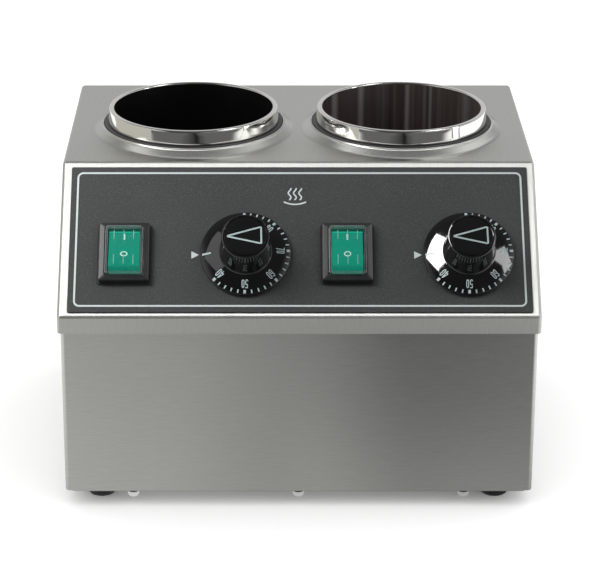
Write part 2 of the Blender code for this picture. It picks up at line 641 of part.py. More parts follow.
TB = at(62.0, 78.45, FLOOR_Z + SHEET + GAP)
term = place("terminal_block", block(-17.0, 17.0, -9.0, 9.0, 0.0, 17.0),
             material("terminal_nylon", (0.75, 0.74, 0.7), 0.6), TB)
boolean(term, "clamps", merge(*[rod(2.6, 10, 6.0, 20.0, dx, dy)
                                for dx in (-11.0, 0.0, 11.0) for dy in (-4.8, 4.8)]),
        "DIFFERENCE", TB)
EARTH = at(112.0, 62.45, FLOOR_Z + SHEET + GAP)
stud = place("earth_stud", lathe([(0, 0), (5.0, 0), (5.0, 1.0), (2.0, 1.0),
                                  (2.0, 16.0), (0, 16.0)], 14, closed=False),
             material("stud_steel", (0.6, 0.58, 0.5), 0.35, 1.0), EARTH)
boolean(stud, "nut", rod(4.1, 6, 1.0, 4.4), "UNION", EARTH)
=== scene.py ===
import math

import bmesh
import bpy
from mathutils import Matrix, Vector


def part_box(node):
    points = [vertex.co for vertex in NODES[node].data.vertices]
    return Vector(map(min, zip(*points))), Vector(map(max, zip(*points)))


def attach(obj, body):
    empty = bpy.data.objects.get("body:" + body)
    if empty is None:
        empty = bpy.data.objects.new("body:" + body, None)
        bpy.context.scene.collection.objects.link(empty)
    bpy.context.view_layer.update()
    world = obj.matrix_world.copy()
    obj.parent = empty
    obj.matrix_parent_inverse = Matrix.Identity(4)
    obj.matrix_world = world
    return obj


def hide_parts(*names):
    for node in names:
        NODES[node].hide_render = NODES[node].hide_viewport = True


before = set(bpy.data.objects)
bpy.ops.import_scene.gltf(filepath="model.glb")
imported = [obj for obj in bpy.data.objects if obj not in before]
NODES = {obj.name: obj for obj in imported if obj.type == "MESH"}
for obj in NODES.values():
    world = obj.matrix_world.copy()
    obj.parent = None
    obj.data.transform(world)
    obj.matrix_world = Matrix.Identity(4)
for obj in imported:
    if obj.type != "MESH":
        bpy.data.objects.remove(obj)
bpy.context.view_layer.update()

MM = 0.001

# ------------------------------------------------------------------ places
# places come from the imported model's boxes, in millimetres, with given offsets and given heights up the slope
def bx(node):
    lo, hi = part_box(node)
    return Vector(lo) / MM, Vector(hi) / MM


C_LO, C_HI = bx("top_cover")
H_LO, H_HI = bx("lower_housing")
HALF = (C_HI.x - C_LO.x) / 2
Y0, Y1 = C_LO.y, C_HI.y
SKIRT_Z = C_LO.z
DECK_Z = C_HI.z - 4.25
SLOPE_Z = SKIRT_Z + 10.0
DECK_Y = Y0 + 70.0
SHEET = 1.2
PA = math.atan2(DECK_Z - SLOPE_Z, DECK_Y - Y0)
CA, SA = math.cos(PA), math.sin(PA)
POT = {s: (bx(f"{s}_pot")[0] + bx(f"{s}_pot")[1]) / 2 for s in ("left", "right")}
DIAL_S = 59.4
SWITCH_S = 59.1
DIAL_X = {s: (bx(f"{s}_knob")[0].x + bx(f"{s}_knob")[1].x) / 2 for s in POT}
SWITCH_X = {s: (bx(f"{s}_switch_bezel")[0].x + bx(f"{s}_switch_bezel")[1].x) / 2
            for s in POT}
OV_LO, OV_HI = bx("control_overlay")
OVERLAY_X = (OV_LO.x + OV_HI.x) / 2
OVERLAY_W = OV_HI.x - OV_LO.x
S0, S1 = 4.0, 94.5


def panel(x=0.0, s=0.0, z=0.0):
    """Frame on the control panel: +x right, +y up the slope, +z out of it."""
    o = Vector((x, DECK_Y - s * CA - z * SA, DECK_Z - s * SA + z * CA)) * MM
    return Matrix(((1, 0, 0, o.x), (0, CA, -SA, o.y), (0, SA, CA, o.z), (0, 0, 0, 1)))


# ------------------------------------------------------------------ node helper
class Tree:
    def __init__(self, tree):
        self.t = tree
        self.n = tree.nodes
        self.l = tree.links

    def new(self, kind, **values):
        node = self.n.new(kind)
        for k, v in values.items():
            setattr(node, k, v)
        return node

    def put(self, socket, value):
        if isinstance(value, bpy.types.NodeSocket):
            self.l.new(value, socket)
        elif value is not None:
            socket.default_value = value

    def math(self, op, a, b=None, c=None, clamp=False):
        node = self.new("ShaderNodeMath", operation=op, use_clamp=clamp)
        for i, v in enumerate((a, b, c)):
            if v is not None:
                self.put(node.inputs[i], v)
        return node.outputs[0]

    def vmath(self, op, a, b=None, out=0):
        node = self.new("ShaderNodeVectorMath", operation=op)
        self.put(node.inputs[0], a)
        if b is not None:
            self.put(node.inputs[1], b)
        return node.outputs[out]

    def xyz(self, v):
        node = self.new("ShaderNodeSeparateXYZ")
        self.put(node.inputs[0], v)
        return node.outputs

    def vec(self, x, y, z):
        node = self.new("ShaderNodeCombineXYZ")
        for i, v in enumerate((x, y, z)):
            self.put(node.inputs[i], v)
        return node.outputs[0]

    def ramp(self, f, stops, mode="LINEAR"):
        node = self.new("ShaderNodeValToRGB")
        cr = node.color_ramp
        cr.interpolation = mode
        while len(cr.elements) < len(stops):
            cr.elements.new(0.5)
        for e, (p, c) in zip(cr.elements, stops):
            e.position = p
            e.color = (c, c, c, 1) if isinstance(c, (int, float)) else (*c, 1)
        self.put(node.inputs[0], f)
        return node.outputs[0]

    def remap(self, f, a, b, c, d, smooth=False):
        node = self.new("ShaderNodeMapRange")
        node.interpolation_type = "SMOOTHSTEP" if smooth else "LINEAR"
        for i, v in enumerate((f, a, b, c, d)):
            self.put(node.inputs[i], v)
        return node.outputs[0]

    def mix(self, f, a, b, blend="MIX"):
        node = self.new("ShaderNodeMix", data_type="RGBA", blend_type=blend)
        self.put(node.inputs[0], f)
        self.put(node.inputs[6], a)
        self.put(node.inputs[7], b)
        return node.outputs[2]

    def noise(self, v, scale=1.0, detail=4.0, rough=0.5, distort=0.0):
        node = self.new("ShaderNodeTexNoise")
        self.put(node.inputs["Vector"], v)
        node.inputs["Scale"].default_value = scale
        node.inputs["Detail"].default_value = detail
        node.inputs["Roughness"].default_value = rough
        node.inputs["Distortion"].default_value = distort
        return node.outputs[0]

    def bump(self, h, strength, distance, normal=None):
        node = self.new("ShaderNodeBump")
        node.inputs["Strength"].default_value = strength
        node.inputs["Distance"].default_value = distance
        self.put(node.inputs["Height"], h)
        if normal is not None:
            self.put(node.inputs["Normal"], normal)
        return node.outputs[0]


def material(name):
    m = bpy.data.materials.new(name)
    m.use_nodes = True
    t = Tree(m.node_tree)
    return m, t, t.n["Principled BSDF"]


def rgb(c):
    return (*c, 1.0)


def coords(t):
    tc = t.new("ShaderNodeTexCoord")
    return tc.outputs["Object"]


# ------------------------------------------------------------------ materials
def brushed(name, tone, rough, across, aniso=0.75, streak=0.10, fine=1900.0):
    """Brushed sheet steel. across is "deck" (lines run front to back and down
    the slope) or "wall" (lines run level round the case)."""
    m, t, b = material(name)
    v = coords(t)
    x, y, z = t.xyz(v)
    geo = t.new("ShaderNodeNewGeometry")
    nx = t.math("ABSOLUTE", t.xyz(geo.outputs["Normal"])[0])
    if across == "deck":
        a = t.math("ADD", t.math("MULTIPLY", x, t.math("SUBTRACT", 1.0, nx)),
                   t.math("MULTIPLY", z, nx))
        along = t.math("SUBTRACT", y, z)
        tangent = t.vec(t.math("SUBTRACT", 1.0, nx), 0.0, nx)
    else:
        a = z
        along = t.math("ADD", x, y)
        tangent = t.vec(0.0, 0.0, 1.0)
    lines = t.noise(t.vec(t.math("MULTIPLY", a, fine), t.math("MULTIPLY", along, 95.0), 0.0),
                    1.0, 3.0, 0.7)
    broad = t.noise(t.vec(t.math("MULTIPLY", a, fine / 3), t.math("MULTIPLY", along, 38.0),
                          3.0), 1.0, 3.0, 0.6)
    cloud = t.noise(v, 9.0, 3.0, 0.55)
    mixed = t.math("ADD", t.math("MULTIPLY", lines, 0.75), t.math("MULTIPLY", broad, 0.25))
    lo = [c * (1 - streak) for c in tone]
    hi = [min(1.0, c * (1 + streak)) for c in tone]
    col = t.mix(t.remap(mixed, 0.3, 0.7, 0.0, 1.0), rgb(lo), rgb(hi))
    smudge = t.mix(t.remap(cloud, 0.35, 0.75, 0.0, 0.06), col,
                   rgb([c * 0.86 for c in tone]))
    t.put(b.inputs["Base Color"], smudge)
    b.inputs["Metallic"].default_value = 1.0
    base = t.math("ADD", t.remap(mixed, 0.25, 0.75, rough * 0.82, rough * 1.18),
                  t.remap(cloud, 0.3, 0.8, 0.0, 0.03))
    if across == "deck":
        # drawn collars round the openings are polished smoother by the press
        drawn = t.remap(z, (DECK_Z + 0.15) * MM, (DECK_Z + 0.9) * MM, 1.0, 0.74, True)
        base = t.math("MULTIPLY", base, drawn)
    t.put(b.inputs["Roughness"], base)
    b.inputs["Anisotropic"].default_value = aniso
    t.put(b.inputs["Tangent"], tangent)
    t.put(b.inputs["Normal"], t.bump(mixed, 0.10, 0.00006))
    return m


def turned_steel(name, tone, rough, lines="round", depth=0.04, dark=0.0):
    """Polished or spun steel with faint turning lines."""
    m, t, b = material(name)
    v = coords(t)
    x, y, z = t.xyz(v)
    if lines == "round":
        f = t.noise(t.vec(0.0, 0.0, t.math("MULTIPLY", z, 1500.0)), 1.0, 3.0, 0.6)
    else:
        f = t.noise(t.vec(t.math("MULTIPLY", x, 900.0), t.math("MULTIPLY", y, 900.0),
                          t.math("MULTIPLY", z, 9.0)), 1.0, 3.0, 0.6)
    spots = t.noise(v, 260.0, 4.0, 0.6)
    col = t.mix(t.remap(f, 0.3, 0.7, 0.0, 1.0), rgb([c * 0.94 for c in tone]),
                rgb([min(1, c * 1.04) for c in tone]))
    t.put(b.inputs["Base Color"], col)
    b.inputs["Metallic"].default_value = 1.0
    t.put(b.inputs["Roughness"], t.math("ADD", t.remap(f, 0.3, 0.7, rough * 0.8, rough * 1.25),
                                        t.remap(spots, 0.55, 0.8, 0.0, 0.05)))
    t.put(b.inputs["Normal"], t.bump(f, depth, 0.00004))
    return m


def moulded(name, tone, rough, grain=0.0, scale=900.0, coat=0.0, spec=0.5, mottle=0.15):
    """Moulded plastic or rubber with a fine surface grain."""
    m, t, b = material(name)
    v = coords(t)
    g = t.noise(v, scale, 4.0, 0.6)
    wide = t.noise(v, scale / 14, 3.0, 0.55)
    col = t.mix(t.remap(wide, 0.3, 0.7, 0.0, 1.0), rgb([c * (1 - mottle) for c in tone]),
                rgb([min(1, c * (1 + mottle)) for c in tone]))
    t.put(b.inputs["Base Color"], col)
    t.put(b.inputs["Roughness"], t.remap(g, 0.25, 0.75, rough * 0.85, rough * 1.15))
    b.inputs["Specular IOR Level"].default_value = spec
    b.inputs["Coat Weight"].default_value = coat
    b.inputs["Coat Roughness"].default_value = 0.04
    if grain > 0:
        t.put(b.inputs["Normal"], t.bump(g, grain, 0.00008))
    return m


def film(name):
    """Charcoal overlay film with a fine pale speckle and an orange-peel skin."""
    m, t, b = material(name)
    v = coords(t)
    peel = t.noise(v, 1500.0, 3.0, 0.6)
    fleck = t.noise(v, 1500.0, 2.0, 0.6)
    wide = t.noise(v, 18.0, 2.0, 0.5)
    base = t.mix(t.remap(wide, 0.35, 0.65, 0.0, 1.0), rgb((0.044, 0.0458, 0.0462)),
                 rgb((0.050, 0.0518, 0.0522)))
    col = t.mix(t.remap(fleck, 0.56, 0.74, 0.0, 0.5), base, rgb((0.15, 0.154, 0.154)))
    col = t.mix(t.remap(fleck, 0.44, 0.28, 0.0, 0.6), col, rgb((0.020, 0.021, 0.0215)))
    t.put(b.inputs["Base Color"], col)
    t.put(b.inputs["Roughness"], t.remap(peel, 0.3, 0.7, 0.42, 0.58))
    b.inputs["Specular IOR Level"].default_value = 0.3
    t.put(b.inputs["Normal"], t.bump(peel, 0.35, 0.00007))
    return m


def ink(name, tone):
    m, t, b = material(name)
    v = coords(t)
    g = t.noise(v, 2200.0, 3.0, 0.6)
    t.put(b.inputs["Base Color"],
          t.mix(t.remap(g, 0.3, 0.7, 0.0, 1.0), rgb([c * 0.9 for c in tone]),
                rgb([min(1, c * 1.06) for c in tone])))
    t.put(b.inputs["Roughness"], t.remap(g, 0.3, 0.7, 0.38, 0.5))
    t.put(b.inputs["Normal"], t.bump(g, 0.1, 0.00004))
    return m


def lamp_green(name):
    """Lit translucent green rocker with fine lens ribs moulded inside it."""
    m, t, b = material(name)
    v = coords(t)
    x, y, z = t.xyz(v)
    ribs = t.math("SINE", t.math("MULTIPLY", x, 2 * math.pi / 0.00095))
    ribs = t.remap(ribs, -1.0, 1.0, 0.0, 1.0)
    wide = t.noise(v, 160.0, 3.0, 0.5)
    col = t.mix(t.math("MULTIPLY", ribs, 0.6), rgb((0.0, 0.34, 0.215)),
                rgb((0.0, 0.47, 0.32)))
    col = t.mix(t.remap(wide, 0.35, 0.7, 0.0, 0.4), col, rgb((0.0, 0.30, 0.20)))
    up = t.math("ADD", t.math("MULTIPLY", t.math("SUBTRACT", y, Y0 * MM), CA),
                t.math("MULTIPLY", t.math("SUBTRACT", z, SLOPE_Z * MM), SA))
    # painted shade: the rocker's colour and glow darken to near black towards its lower end
    col = t.mix(t.remap(up, (SWITCH_S - 8.4) * MM, (SWITCH_S - 9.6) * MM, 0.0, 0.85, True),
                col, rgb((0.0, 0.06, 0.04)))
    # painted light: the rocker's colour and glow are lightened towards its upper end
    col = t.mix(t.remap(up, (SWITCH_S + 1.0) * MM, (SWITCH_S + 9.0) * MM, 0.0, 0.35, True),
                col, rgb((0.005, 0.62, 0.46)))
    t.put(b.inputs["Base Color"], col)
    t.put(b.inputs["Roughness"], t.remap(wide, 0.3, 0.7, 0.24, 0.34))
    b.inputs["Subsurface Weight"].default_value = 0.25
    b.inputs["Subsurface Radius"].default_value = (0.2, 1.0, 0.7)
    b.inputs["Subsurface Scale"].default_value = 0.002
    t.put(b.inputs["Emission Color"], col)
    b.inputs["Specular IOR Level"].default_value = 0.2
    b.inputs["Emission Strength"].default_value = 1.55
    t.put(b.inputs["Normal"], t.bump(ribs, 0.25, 0.00008))
    return m


def clear(name):
    m, t, b = material(name)
    v = coords(t)
    g = t.noise(v, 420.0, 3.0, 0.5)
    t.put(b.inputs["Base Color"], t.mix(t.remap(g, 0.3, 0.7, 0.0, 1.0),
                                        rgb((0.40, 0.44, 0.44)), rgb((0.48, 0.52, 0.52))))
    t.put(b.inputs["Roughness"], t.remap(g, 0.3, 0.7, 0.06, 0.12))
    facing = t.new("ShaderNodeLayerWeight")
    facing.inputs["Blend"].default_value = 0.5
    t.put(b.inputs["Alpha"], t.ramp(facing.outputs["Facing"],
                                    [(0.0, 0.006), (0.30, 0.015), (0.62, 0.40), (1.0, 0.95)]))
    b.inputs["IOR"].default_value = 1.45
    b.inputs["Specular IOR Level"].default_value = 0.35
    t.put(b.inputs["Normal"], t.bump(g, 0.08, 0.0001))
    return m


def stained_steel_painted_reflections(name):
    """Bare drawn steel inside a used pot: upright stains that differ at random, with bright upright streaks
    painted at fixed angles as reflections.
    """
    m, t, b = material(name)
    v = coords(t)
    x, y, z = t.xyz(v)
    a = t.math("ARCTAN2", t.math("SUBTRACT", x, 0.0618), t.math("SUBTRACT", y, 0.01585))
    wide = t.noise(t.vec(t.math("MULTIPLY", a, 3.1), t.math("MULTIPLY", z, 2.0), 1.7),
                   1.0, 2.0, 0.5)
    fine = t.noise(t.vec(t.math("MULTIPLY", a, 17.0), t.math("MULTIPLY", z, 5.0), 4.2),
                   1.0, 4.0, 0.6)
    hair = t.noise(t.vec(t.math("MULTIPLY", a, 130.0), t.math("MULTIPLY", z, 16.0), 0.4),
                   1.0, 3.0, 0.6)
    col = t.mix(t.remap(wide, 0.35, 0.65, 0.0, 1.0), rgb((0.078, 0.054, 0.049)),
                rgb((0.155, 0.130, 0.124)))
    col = t.mix(t.remap(fine, 0.50, 0.72, 0.0, 0.5), col, rgb((0.26, 0.23, 0.21)))
    col = t.mix(t.remap(fine, 0.46, 0.30, 0.0, 0.45), col, rgb((0.034, 0.022, 0.022)))
    # painted reflections: bright upright streaks placed at fixed angles round the right pot's axis, lighter than
    # the steel
    for at_, half, tone in ((-0.50, 0.07, 0.42), (0.13, 0.05, 0.40), (0.36, 0.035, 0.20),
                            (0.44, 0.035, 0.34), (-0.18, 0.03, 0.16),
                            (-0.98, 0.12, 0.40), (1.02, 0.10, 0.24)):
        d = t.math("ABSOLUTE", t.math("SUBTRACT", a, at_))
        col = t.mix(t.remap(d, half, 0.0, 0.0, 0.85, True), col,
                    rgb((tone, tone * 0.93, tone * 0.88)))
    col = t.mix(t.remap(hair, 0.3, 0.7, 0.0, 0.35), col, rgb((0.05, 0.04, 0.04)))
    t.put(b.inputs["Base Color"], col)
    b.inputs["Metallic"].default_value = 0.35
    t.put(b.inputs["Roughness"], t.remap(hair, 0.3, 0.7, 0.30, 0.46))
    t.put(b.inputs["Normal"], t.bump(hair, 0.15, 0.00005))
    return m


STEEL = (0.60, 0.60, 0.575)
M = {
    "cover": brushed("steel_cover", STEEL, 0.45, "deck", 0.90, 0.09),
    "wall": brushed("steel_wall", (0.585, 0.585, 0.565), 0.30, "wall", 0.80, 0.10),
    "plate": brushed("steel_plate", (0.46, 0.46, 0.445), 0.42, "deck", 0.4, 0.08),
    "rim": turned_steel("steel_rim", (0.74, 0.735, 0.71), 0.055, "round", 0.03),
    "well": stained_steel_painted_reflections("steel_inside_painted_reflections"),
    "can": turned_steel("steel_can", (0.42, 0.42, 0.41), 0.34, "round", 0.15),
    "bright": turned_steel("steel_bright", (0.70, 0.70, 0.68), 0.16, "round", 0.08),
    "film": film("charcoal_film"),
    "ink": ink("pale_ink", (0.60, 0.66, 0.65)),
    "dial_ink": ink("dial_ink", (0.76, 0.92, 0.92)),
    "gloss": moulded("gloss_black", (0.0065, 0.0068, 0.007), 0.07, 0.03, 700.0, 0.4),
    "satin": moulded("satin_black", (0.021, 0.0215, 0.022), 0.33, 0.07, 1300.0),
    "screw": turned_steel("screw_steel", (0.93, 0.93, 0.92), 0.20, "round", 0.05),
    "rubber": moulded("rubber_black", (0.018, 0.018, 0.018), 0.72, 0.5, 1100.0),
    "silicone": moulded("silicone_dark", (0.030, 0.031, 0.031), 0.45, 0.3, 900.0),
    "coating": moulded("nonstick_black", (0.0035, 0.0036, 0.0038), 0.34, 0.2, 1500.0, 0.0, 0.35),
    "nylon": moulded("nylon_black", (0.017, 0.017, 0.018), 0.45, 0.3, 1200.0),
    "green": lamp_green("lamp_green"),
    "green_mark": ink("rocker_mark", (0.55, 0.78, 0.70)),
    "clear": clear("clear_cover"),
    # boot ribs: real ribs, their pale colour a painted highlight
    "rib": ink("rib_pale_painted_highlight", (0.26, 0.40, 0.36)),
    "fibre": moulded("fibre_wrap", (0.70, 0.68, 0.61), 0.9, 1.0, 420.0, 0.0, 0.2, 0.2),
    "mica": turned_steel("mica_band", (0.40, 0.34, 0.26), 0.42, "up", 0.3),
    "phenolic": moulded("phenolic", (0.075, 0.045, 0.03), 0.45, 0.3, 900.0),
    "case": turned_steel("plated_case", (0.55, 0.52, 0.46), 0.38, "up", 0.15),
    "copper": turned_steel("copper_tube", (0.66, 0.36, 0.22), 0.30, "round", 0.1),
    "cream": moulded("cream_nylon", (0.66, 0.65, 0.60), 0.5, 0.3, 700.0),
}

# ------------------------------------------------------------------ mesh tools
COLL = bpy.context.scene.collection


def piece(name, bm, mats, xf=None, body="case", node=None, sharp=38.0,
          bevel=None, weighted=True):
    """Finished piece from a bmesh, riding on a body and standing for a node."""
    if xf is not None:
        bmesh.ops.transform(bm, matrix=xf, verts=bm.verts)
    bmesh.ops.remove_doubles(bm, verts=bm.verts, dist=2e-7)
    bmesh.ops.recalc_face_normals(bm, faces=bm.faces)
    me = bpy.data.meshes.new(name)
    bm.to_mesh(me)
    bm.free()
    me.shade_smooth()
    me.set_sharp_from_angle(angle=math.radians(sharp))
    for m in (mats if isinstance(mats, (list, tuple)) else [mats]):
        me.materials.append(m)
    ob = bpy.data.objects.new(name, me)
    COLL.objects.link(ob)
    if bevel:
        mod = ob.modifiers.new("edge", "BEVEL")
        mod.width = bevel * MM
        mod.segments = 3
        mod.limit_method = "ANGLE"
        mod.angle_limit = math.radians(50)
        mod.harden_normals = False
    if weighted:
        mod = ob.modifiers.new("normals", "WEIGHTED_NORMAL")
        mod.weight = 85
        mod.keep_sharp = True
    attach(ob, body)
    for n in ([node] if isinstance(node, str) else node or []):
        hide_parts(n)
    return ob


def rounded(points, radii, seg=6):
    out = []
    n = len(points)
    for i, (px, py) in enumerate(points):
        r = radii[i] if isinstance(radii, (list, tuple)) else radii
        p = Vector((px, py))
        if r <= 0:
            out.append((px, py))
            continue
        a = (Vector(points[i - 1]) - p).normalized()
        b = (Vector(points[(i + 1) % n]) - p).normalized()
        half = a.angle(b) / 2
        d = r / math.tan(half)
        c = p + (a + b).normalized() * (r / math.sin(half))
        s, e = p + a * d - c, p + b * d - c
        turn = s.angle_signed(e)
        for k in range(seg + 1):
            t = -turn * k / seg
            out.append((c.x + s.x * math.cos(t) - s.y * math.sin(t),
                        c.y + s.x * math.sin(t) + s.y * math.cos(t)))
    return out


def rect(w, h, r=0.0, cx=0.0, cy=0.0, seg=8):
    pts = [(cx - w / 2, cy - h / 2), (cx + w / 2, cy - h / 2),
           (cx + w / 2, cy + h / 2), (cx - w / 2, cy + h / 2)]
    return rounded(pts, r, seg) if r > 0 else pts


def ring(r, n, cx=0.0, cy=0.0):
    return [(cx + r * math.cos(2 * math.pi * k / n), cy + r * math.sin(2 * math.pi * k / n))
            for k in range(n)]


def lathe(profile, seg, closed=True, mats=None):
    bm = bmesh.new()
    rings = []
    for r, z in profile:
        if r < 1e-6:
            rings.append([bm.verts.new((0, 0, z * MM))])
        else:
            rings.append([bm.verts.new((x * MM, y * MM, z * MM)) for x, y in ring(r, seg)])
    for i in range(len(rings) - (0 if closed else 1)):
        a, b = rings[i], rings[(i + 1) % len(rings)]
        for k in range(seg):
            j = (k + 1) % seg
            if len(a) == 1 and len(b) == 1:
                break
            if len(a) == 1:
                f = (a[0], b[k], b[j])
            elif len(b) == 1:
                f = (a[k], a[j], b[0])
            else:
                f = (a[k], a[j], b[j], b[k])
            face = bm.faces.new(f)
            face.material_index = mats[i] if mats else 0
    return bm


def loft(loops, closed=True, caps=False, mats=None):
    """Skin over loops of (x, y, z) millimetres, all with the same count."""
    bm = bmesh.new()
    vs = [[bm.verts.new(Vector(p) * MM) for p in loop] for loop in loops]
    n = len(vs[0])
    for i in range(len(vs) - (0 if closed else 1)):
        a, b = vs[i], vs[(i + 1) % len(vs)]
        for k in range(n):
            j = (k + 1) % n
            f = bm.faces.new((a[k], a[j], b[j], b[k]))
            f.material_index = mats[i] if mats else 0
    if caps:
        bm.faces.new(list(reversed(vs[0])))
        bm.faces.new(vs[-1])
    return bm


def slab(outer, holes, z0, z1):
    """Flat plate with holes, between two heights."""
    bm = bmesh.new()
    tops, bots = [], []
    for loop in [outer] + list(holes):
        t = [bm.verts.new((x * MM, y * MM, z1 * MM)) for x, y in loop]
        b = [bm.verts.new((x * MM, y * MM, z0 * MM)) for x, y in loop]
        n = len(loop)
        for i in range(n):
            j = (i + 1) % n
            tops.append(bm.edges.new((t[i], t[j])))
            bots.append(bm.edges.new((b[i], b[j])))
            bm.faces.new((b[i], b[j], t[j], t[i]))
    if holes:
        bmesh.ops.triangle_fill(bm, edges=tops, use_beauty=True, use_dissolve=False)
        bmesh.ops.triangle_fill(bm, edges=bots, use_beauty=True, use_dissolve=False)
    else:
        n = len(outer)
        bm.verts.ensure_lookup_table()
        bm.faces.new([bm.verts[i] for i in range(n)])
        bm.faces.new([bm.verts[i] for i in range(2 * n - 1, n - 1, -1)])
    return bm


def merged(parts):
    out = bmesh.new()
    for bm in parts:
        me = bpy.data.meshes.new("tmp")
        bm.to_mesh(me)
        bm.free()
        out.from_mesh(me)
        bpy.data.meshes.remove(me)
    return out


def booled(bm, other, op="DIFFERENCE"):
    """bm cut by, or joined with, another solid, as one clean mesh."""
    obs = []
    for tag, m in (("base", bm), ("tool", other)):
        bmesh.ops.recalc_face_normals(m, faces=m.faces)
        me = bpy.data.meshes.new(tag)
        m.to_mesh(me)
        m.free()
        ob = bpy.data.objects.new(tag, me)
        COLL.objects.link(ob)
        obs.append(ob)
    mod = obs[0].modifiers.new("b", "BOOLEAN")
    mod.solver = "EXACT"
    mod.operation = op
    mod.object = obs[1]
    dg = bpy.context.evaluated_depsgraph_get()
    me = bpy.data.meshes.new_from_object(obs[0].evaluated_get(dg))
    out = bmesh.new()
    out.from_mesh(me)
    bpy.data.meshes.remove(me)
    for ob in obs:
        data = ob.data
        bpy.data.objects.remove(ob, do_unlink=True)
        bpy.data.meshes.remove(data)
    return out


def strip(path, width, closed=False, round_ends=True, n_end=6):
    """Flat ribbon outline round a path, as rows of (left, right) points."""
    ps = [Vector(p) for p in path]
    n = len(ps)
    rows = []
    for i, p in enumerate(ps):
        a = ps[(i - 1) % n] if (closed or i > 0) else None
        b = ps[(i + 1) % n] if (closed or i < n - 1) else None
        d1 = (p - a).normalized() if a is not None else None
        d2 = (b - p).normalized() if b is not None else None
        if d1 is None:
            d, k = d2, 1.0
        elif d2 is None:
            d, k = d1, 1.0
        else:
            d = (d1 + d2).normalized()
            k = 1.0 / max(0.6, d.dot(d1))
        nrm = Vector((-d.y, d.x)) * (width / 2 * k)
        rows.append((p + nrm, p - nrm))
    return rows


def ribbon(bm, path, width, lift, closed=False, lo=-0.03, hi=0.05, ends=True):
    """Raised closed stroke. lift(x, y) gives the point on the surface and hi
    how far the print stands off it."""
    rows = strip(path, width, closed)
    if ends and not closed:
        extra = []
        for (p, q), (d0, d1) in ((rows[0], (Vector(path[1]), Vector(path[0]))),
                                 (rows[-1], (Vector(path[-2]), Vector(path[-1])))):
            d = (d1 - d0).normalized() * (width / 2)
            c = (p + q) / 2
            m = []
            for t in (0.45, 0.8, 0.97):
                h = math.sqrt(1 - t * t)
                m.append((c + (p - c) * h + d * t, c + (q - c) * h + d * t))
            extra.append(m)
        rows = list(reversed(extra[0])) + rows + extra[1]
    top = [[bm.verts.new(lift(v.x, v.y, hi) * MM) for v in row] for row in rows]
    bot = [[bm.verts.new(lift(v.x, v.y, lo) * MM) for v in row] for row in rows]
    m = len(rows)
    for i in range(m if closed else m - 1):
        j = (i + 1) % m
        bm.faces.new((top[i][0], top[i][1], top[j][1], top[j][0]))
        bm.faces.new((bot[i][1], bot[i][0], bot[j][0], bot[j][1]))
        bm.faces.new((top[i][0], top[j][0], bot[j][0], bot[i][0]))
        bm.faces.new((top[j][1], top[i][1], bot[i][1], bot[j][1]))
    if not closed:
        bm.faces.new((top[0][1], top[0][0], bot[0][0], bot[0][1]))
        bm.faces.new((top[-1][0], top[-1][1], bot[-1][1], bot[-1][0]))


def blot(bm, pts, lift, lo=-0.03, hi=0.05):
    """Raised closed filled shape."""
    top = [bm.verts.new(lift(x, y, hi) * MM) for x, y in pts]
    bot = [bm.verts.new(lift(x, y, lo) * MM) for x, y in pts]
    bm.faces.new(top)
    bm.faces.new(list(reversed(bot)))
    for i in range(len(pts)):
        j = (i + 1) % len(pts)
        bm.faces.new((top[j], top[i], bot[i], bot[j]))


def arc(cx, cy, rx, ry, a0, a1, n=10):
    return [(cx + rx * math.cos(math.radians(a0 + (a1 - a0) * k / n)),
             cy + ry * math.sin(math.radians(a0 + (a1 - a0) * k / n)))
            for k in range(n + 1)]


def level(z):
    return lambda x, y, h: Vector((x, y, z + h))


# ------------------------------------------------------------------ top cover
FOLD = 2.5


def section(d, r=3.0, n=9):
    """Side outline of the cover, inset by d, with its three bends."""
    corners = [(Y0, SKIRT_Z), (Y0, SLOPE_Z), (DECK_Y, DECK_Z), (Y1, DECK_Z), (Y1, SKIRT_Z)]
    out = [(Y0 + d, SKIRT_Z)]
    for i in (1, 2, 3):
        p = Vector(corners[i])
        a = (Vector(corners[i - 1]) - p).normalized()
        b = (Vector(corners[i + 1]) - p).normalized()
        half = a.angle(b) / 2
        bis = (a + b).normalized()
        rr = max(r - d, 0.05)
        c = p + bis * ((d + rr) / math.sin(half))
        n1 = -(bis - a * bis.dot(a)).normalized()
        n2 = -(bis - b * bis.dot(b)).normalized()
        for k in range(n + 1):
            v = n1.slerp(n2, k / n) * rr
            out.append((c.x + v.x, c.y + v.y))
    out.append((Y1 - d, SKIRT_Z))
    return out


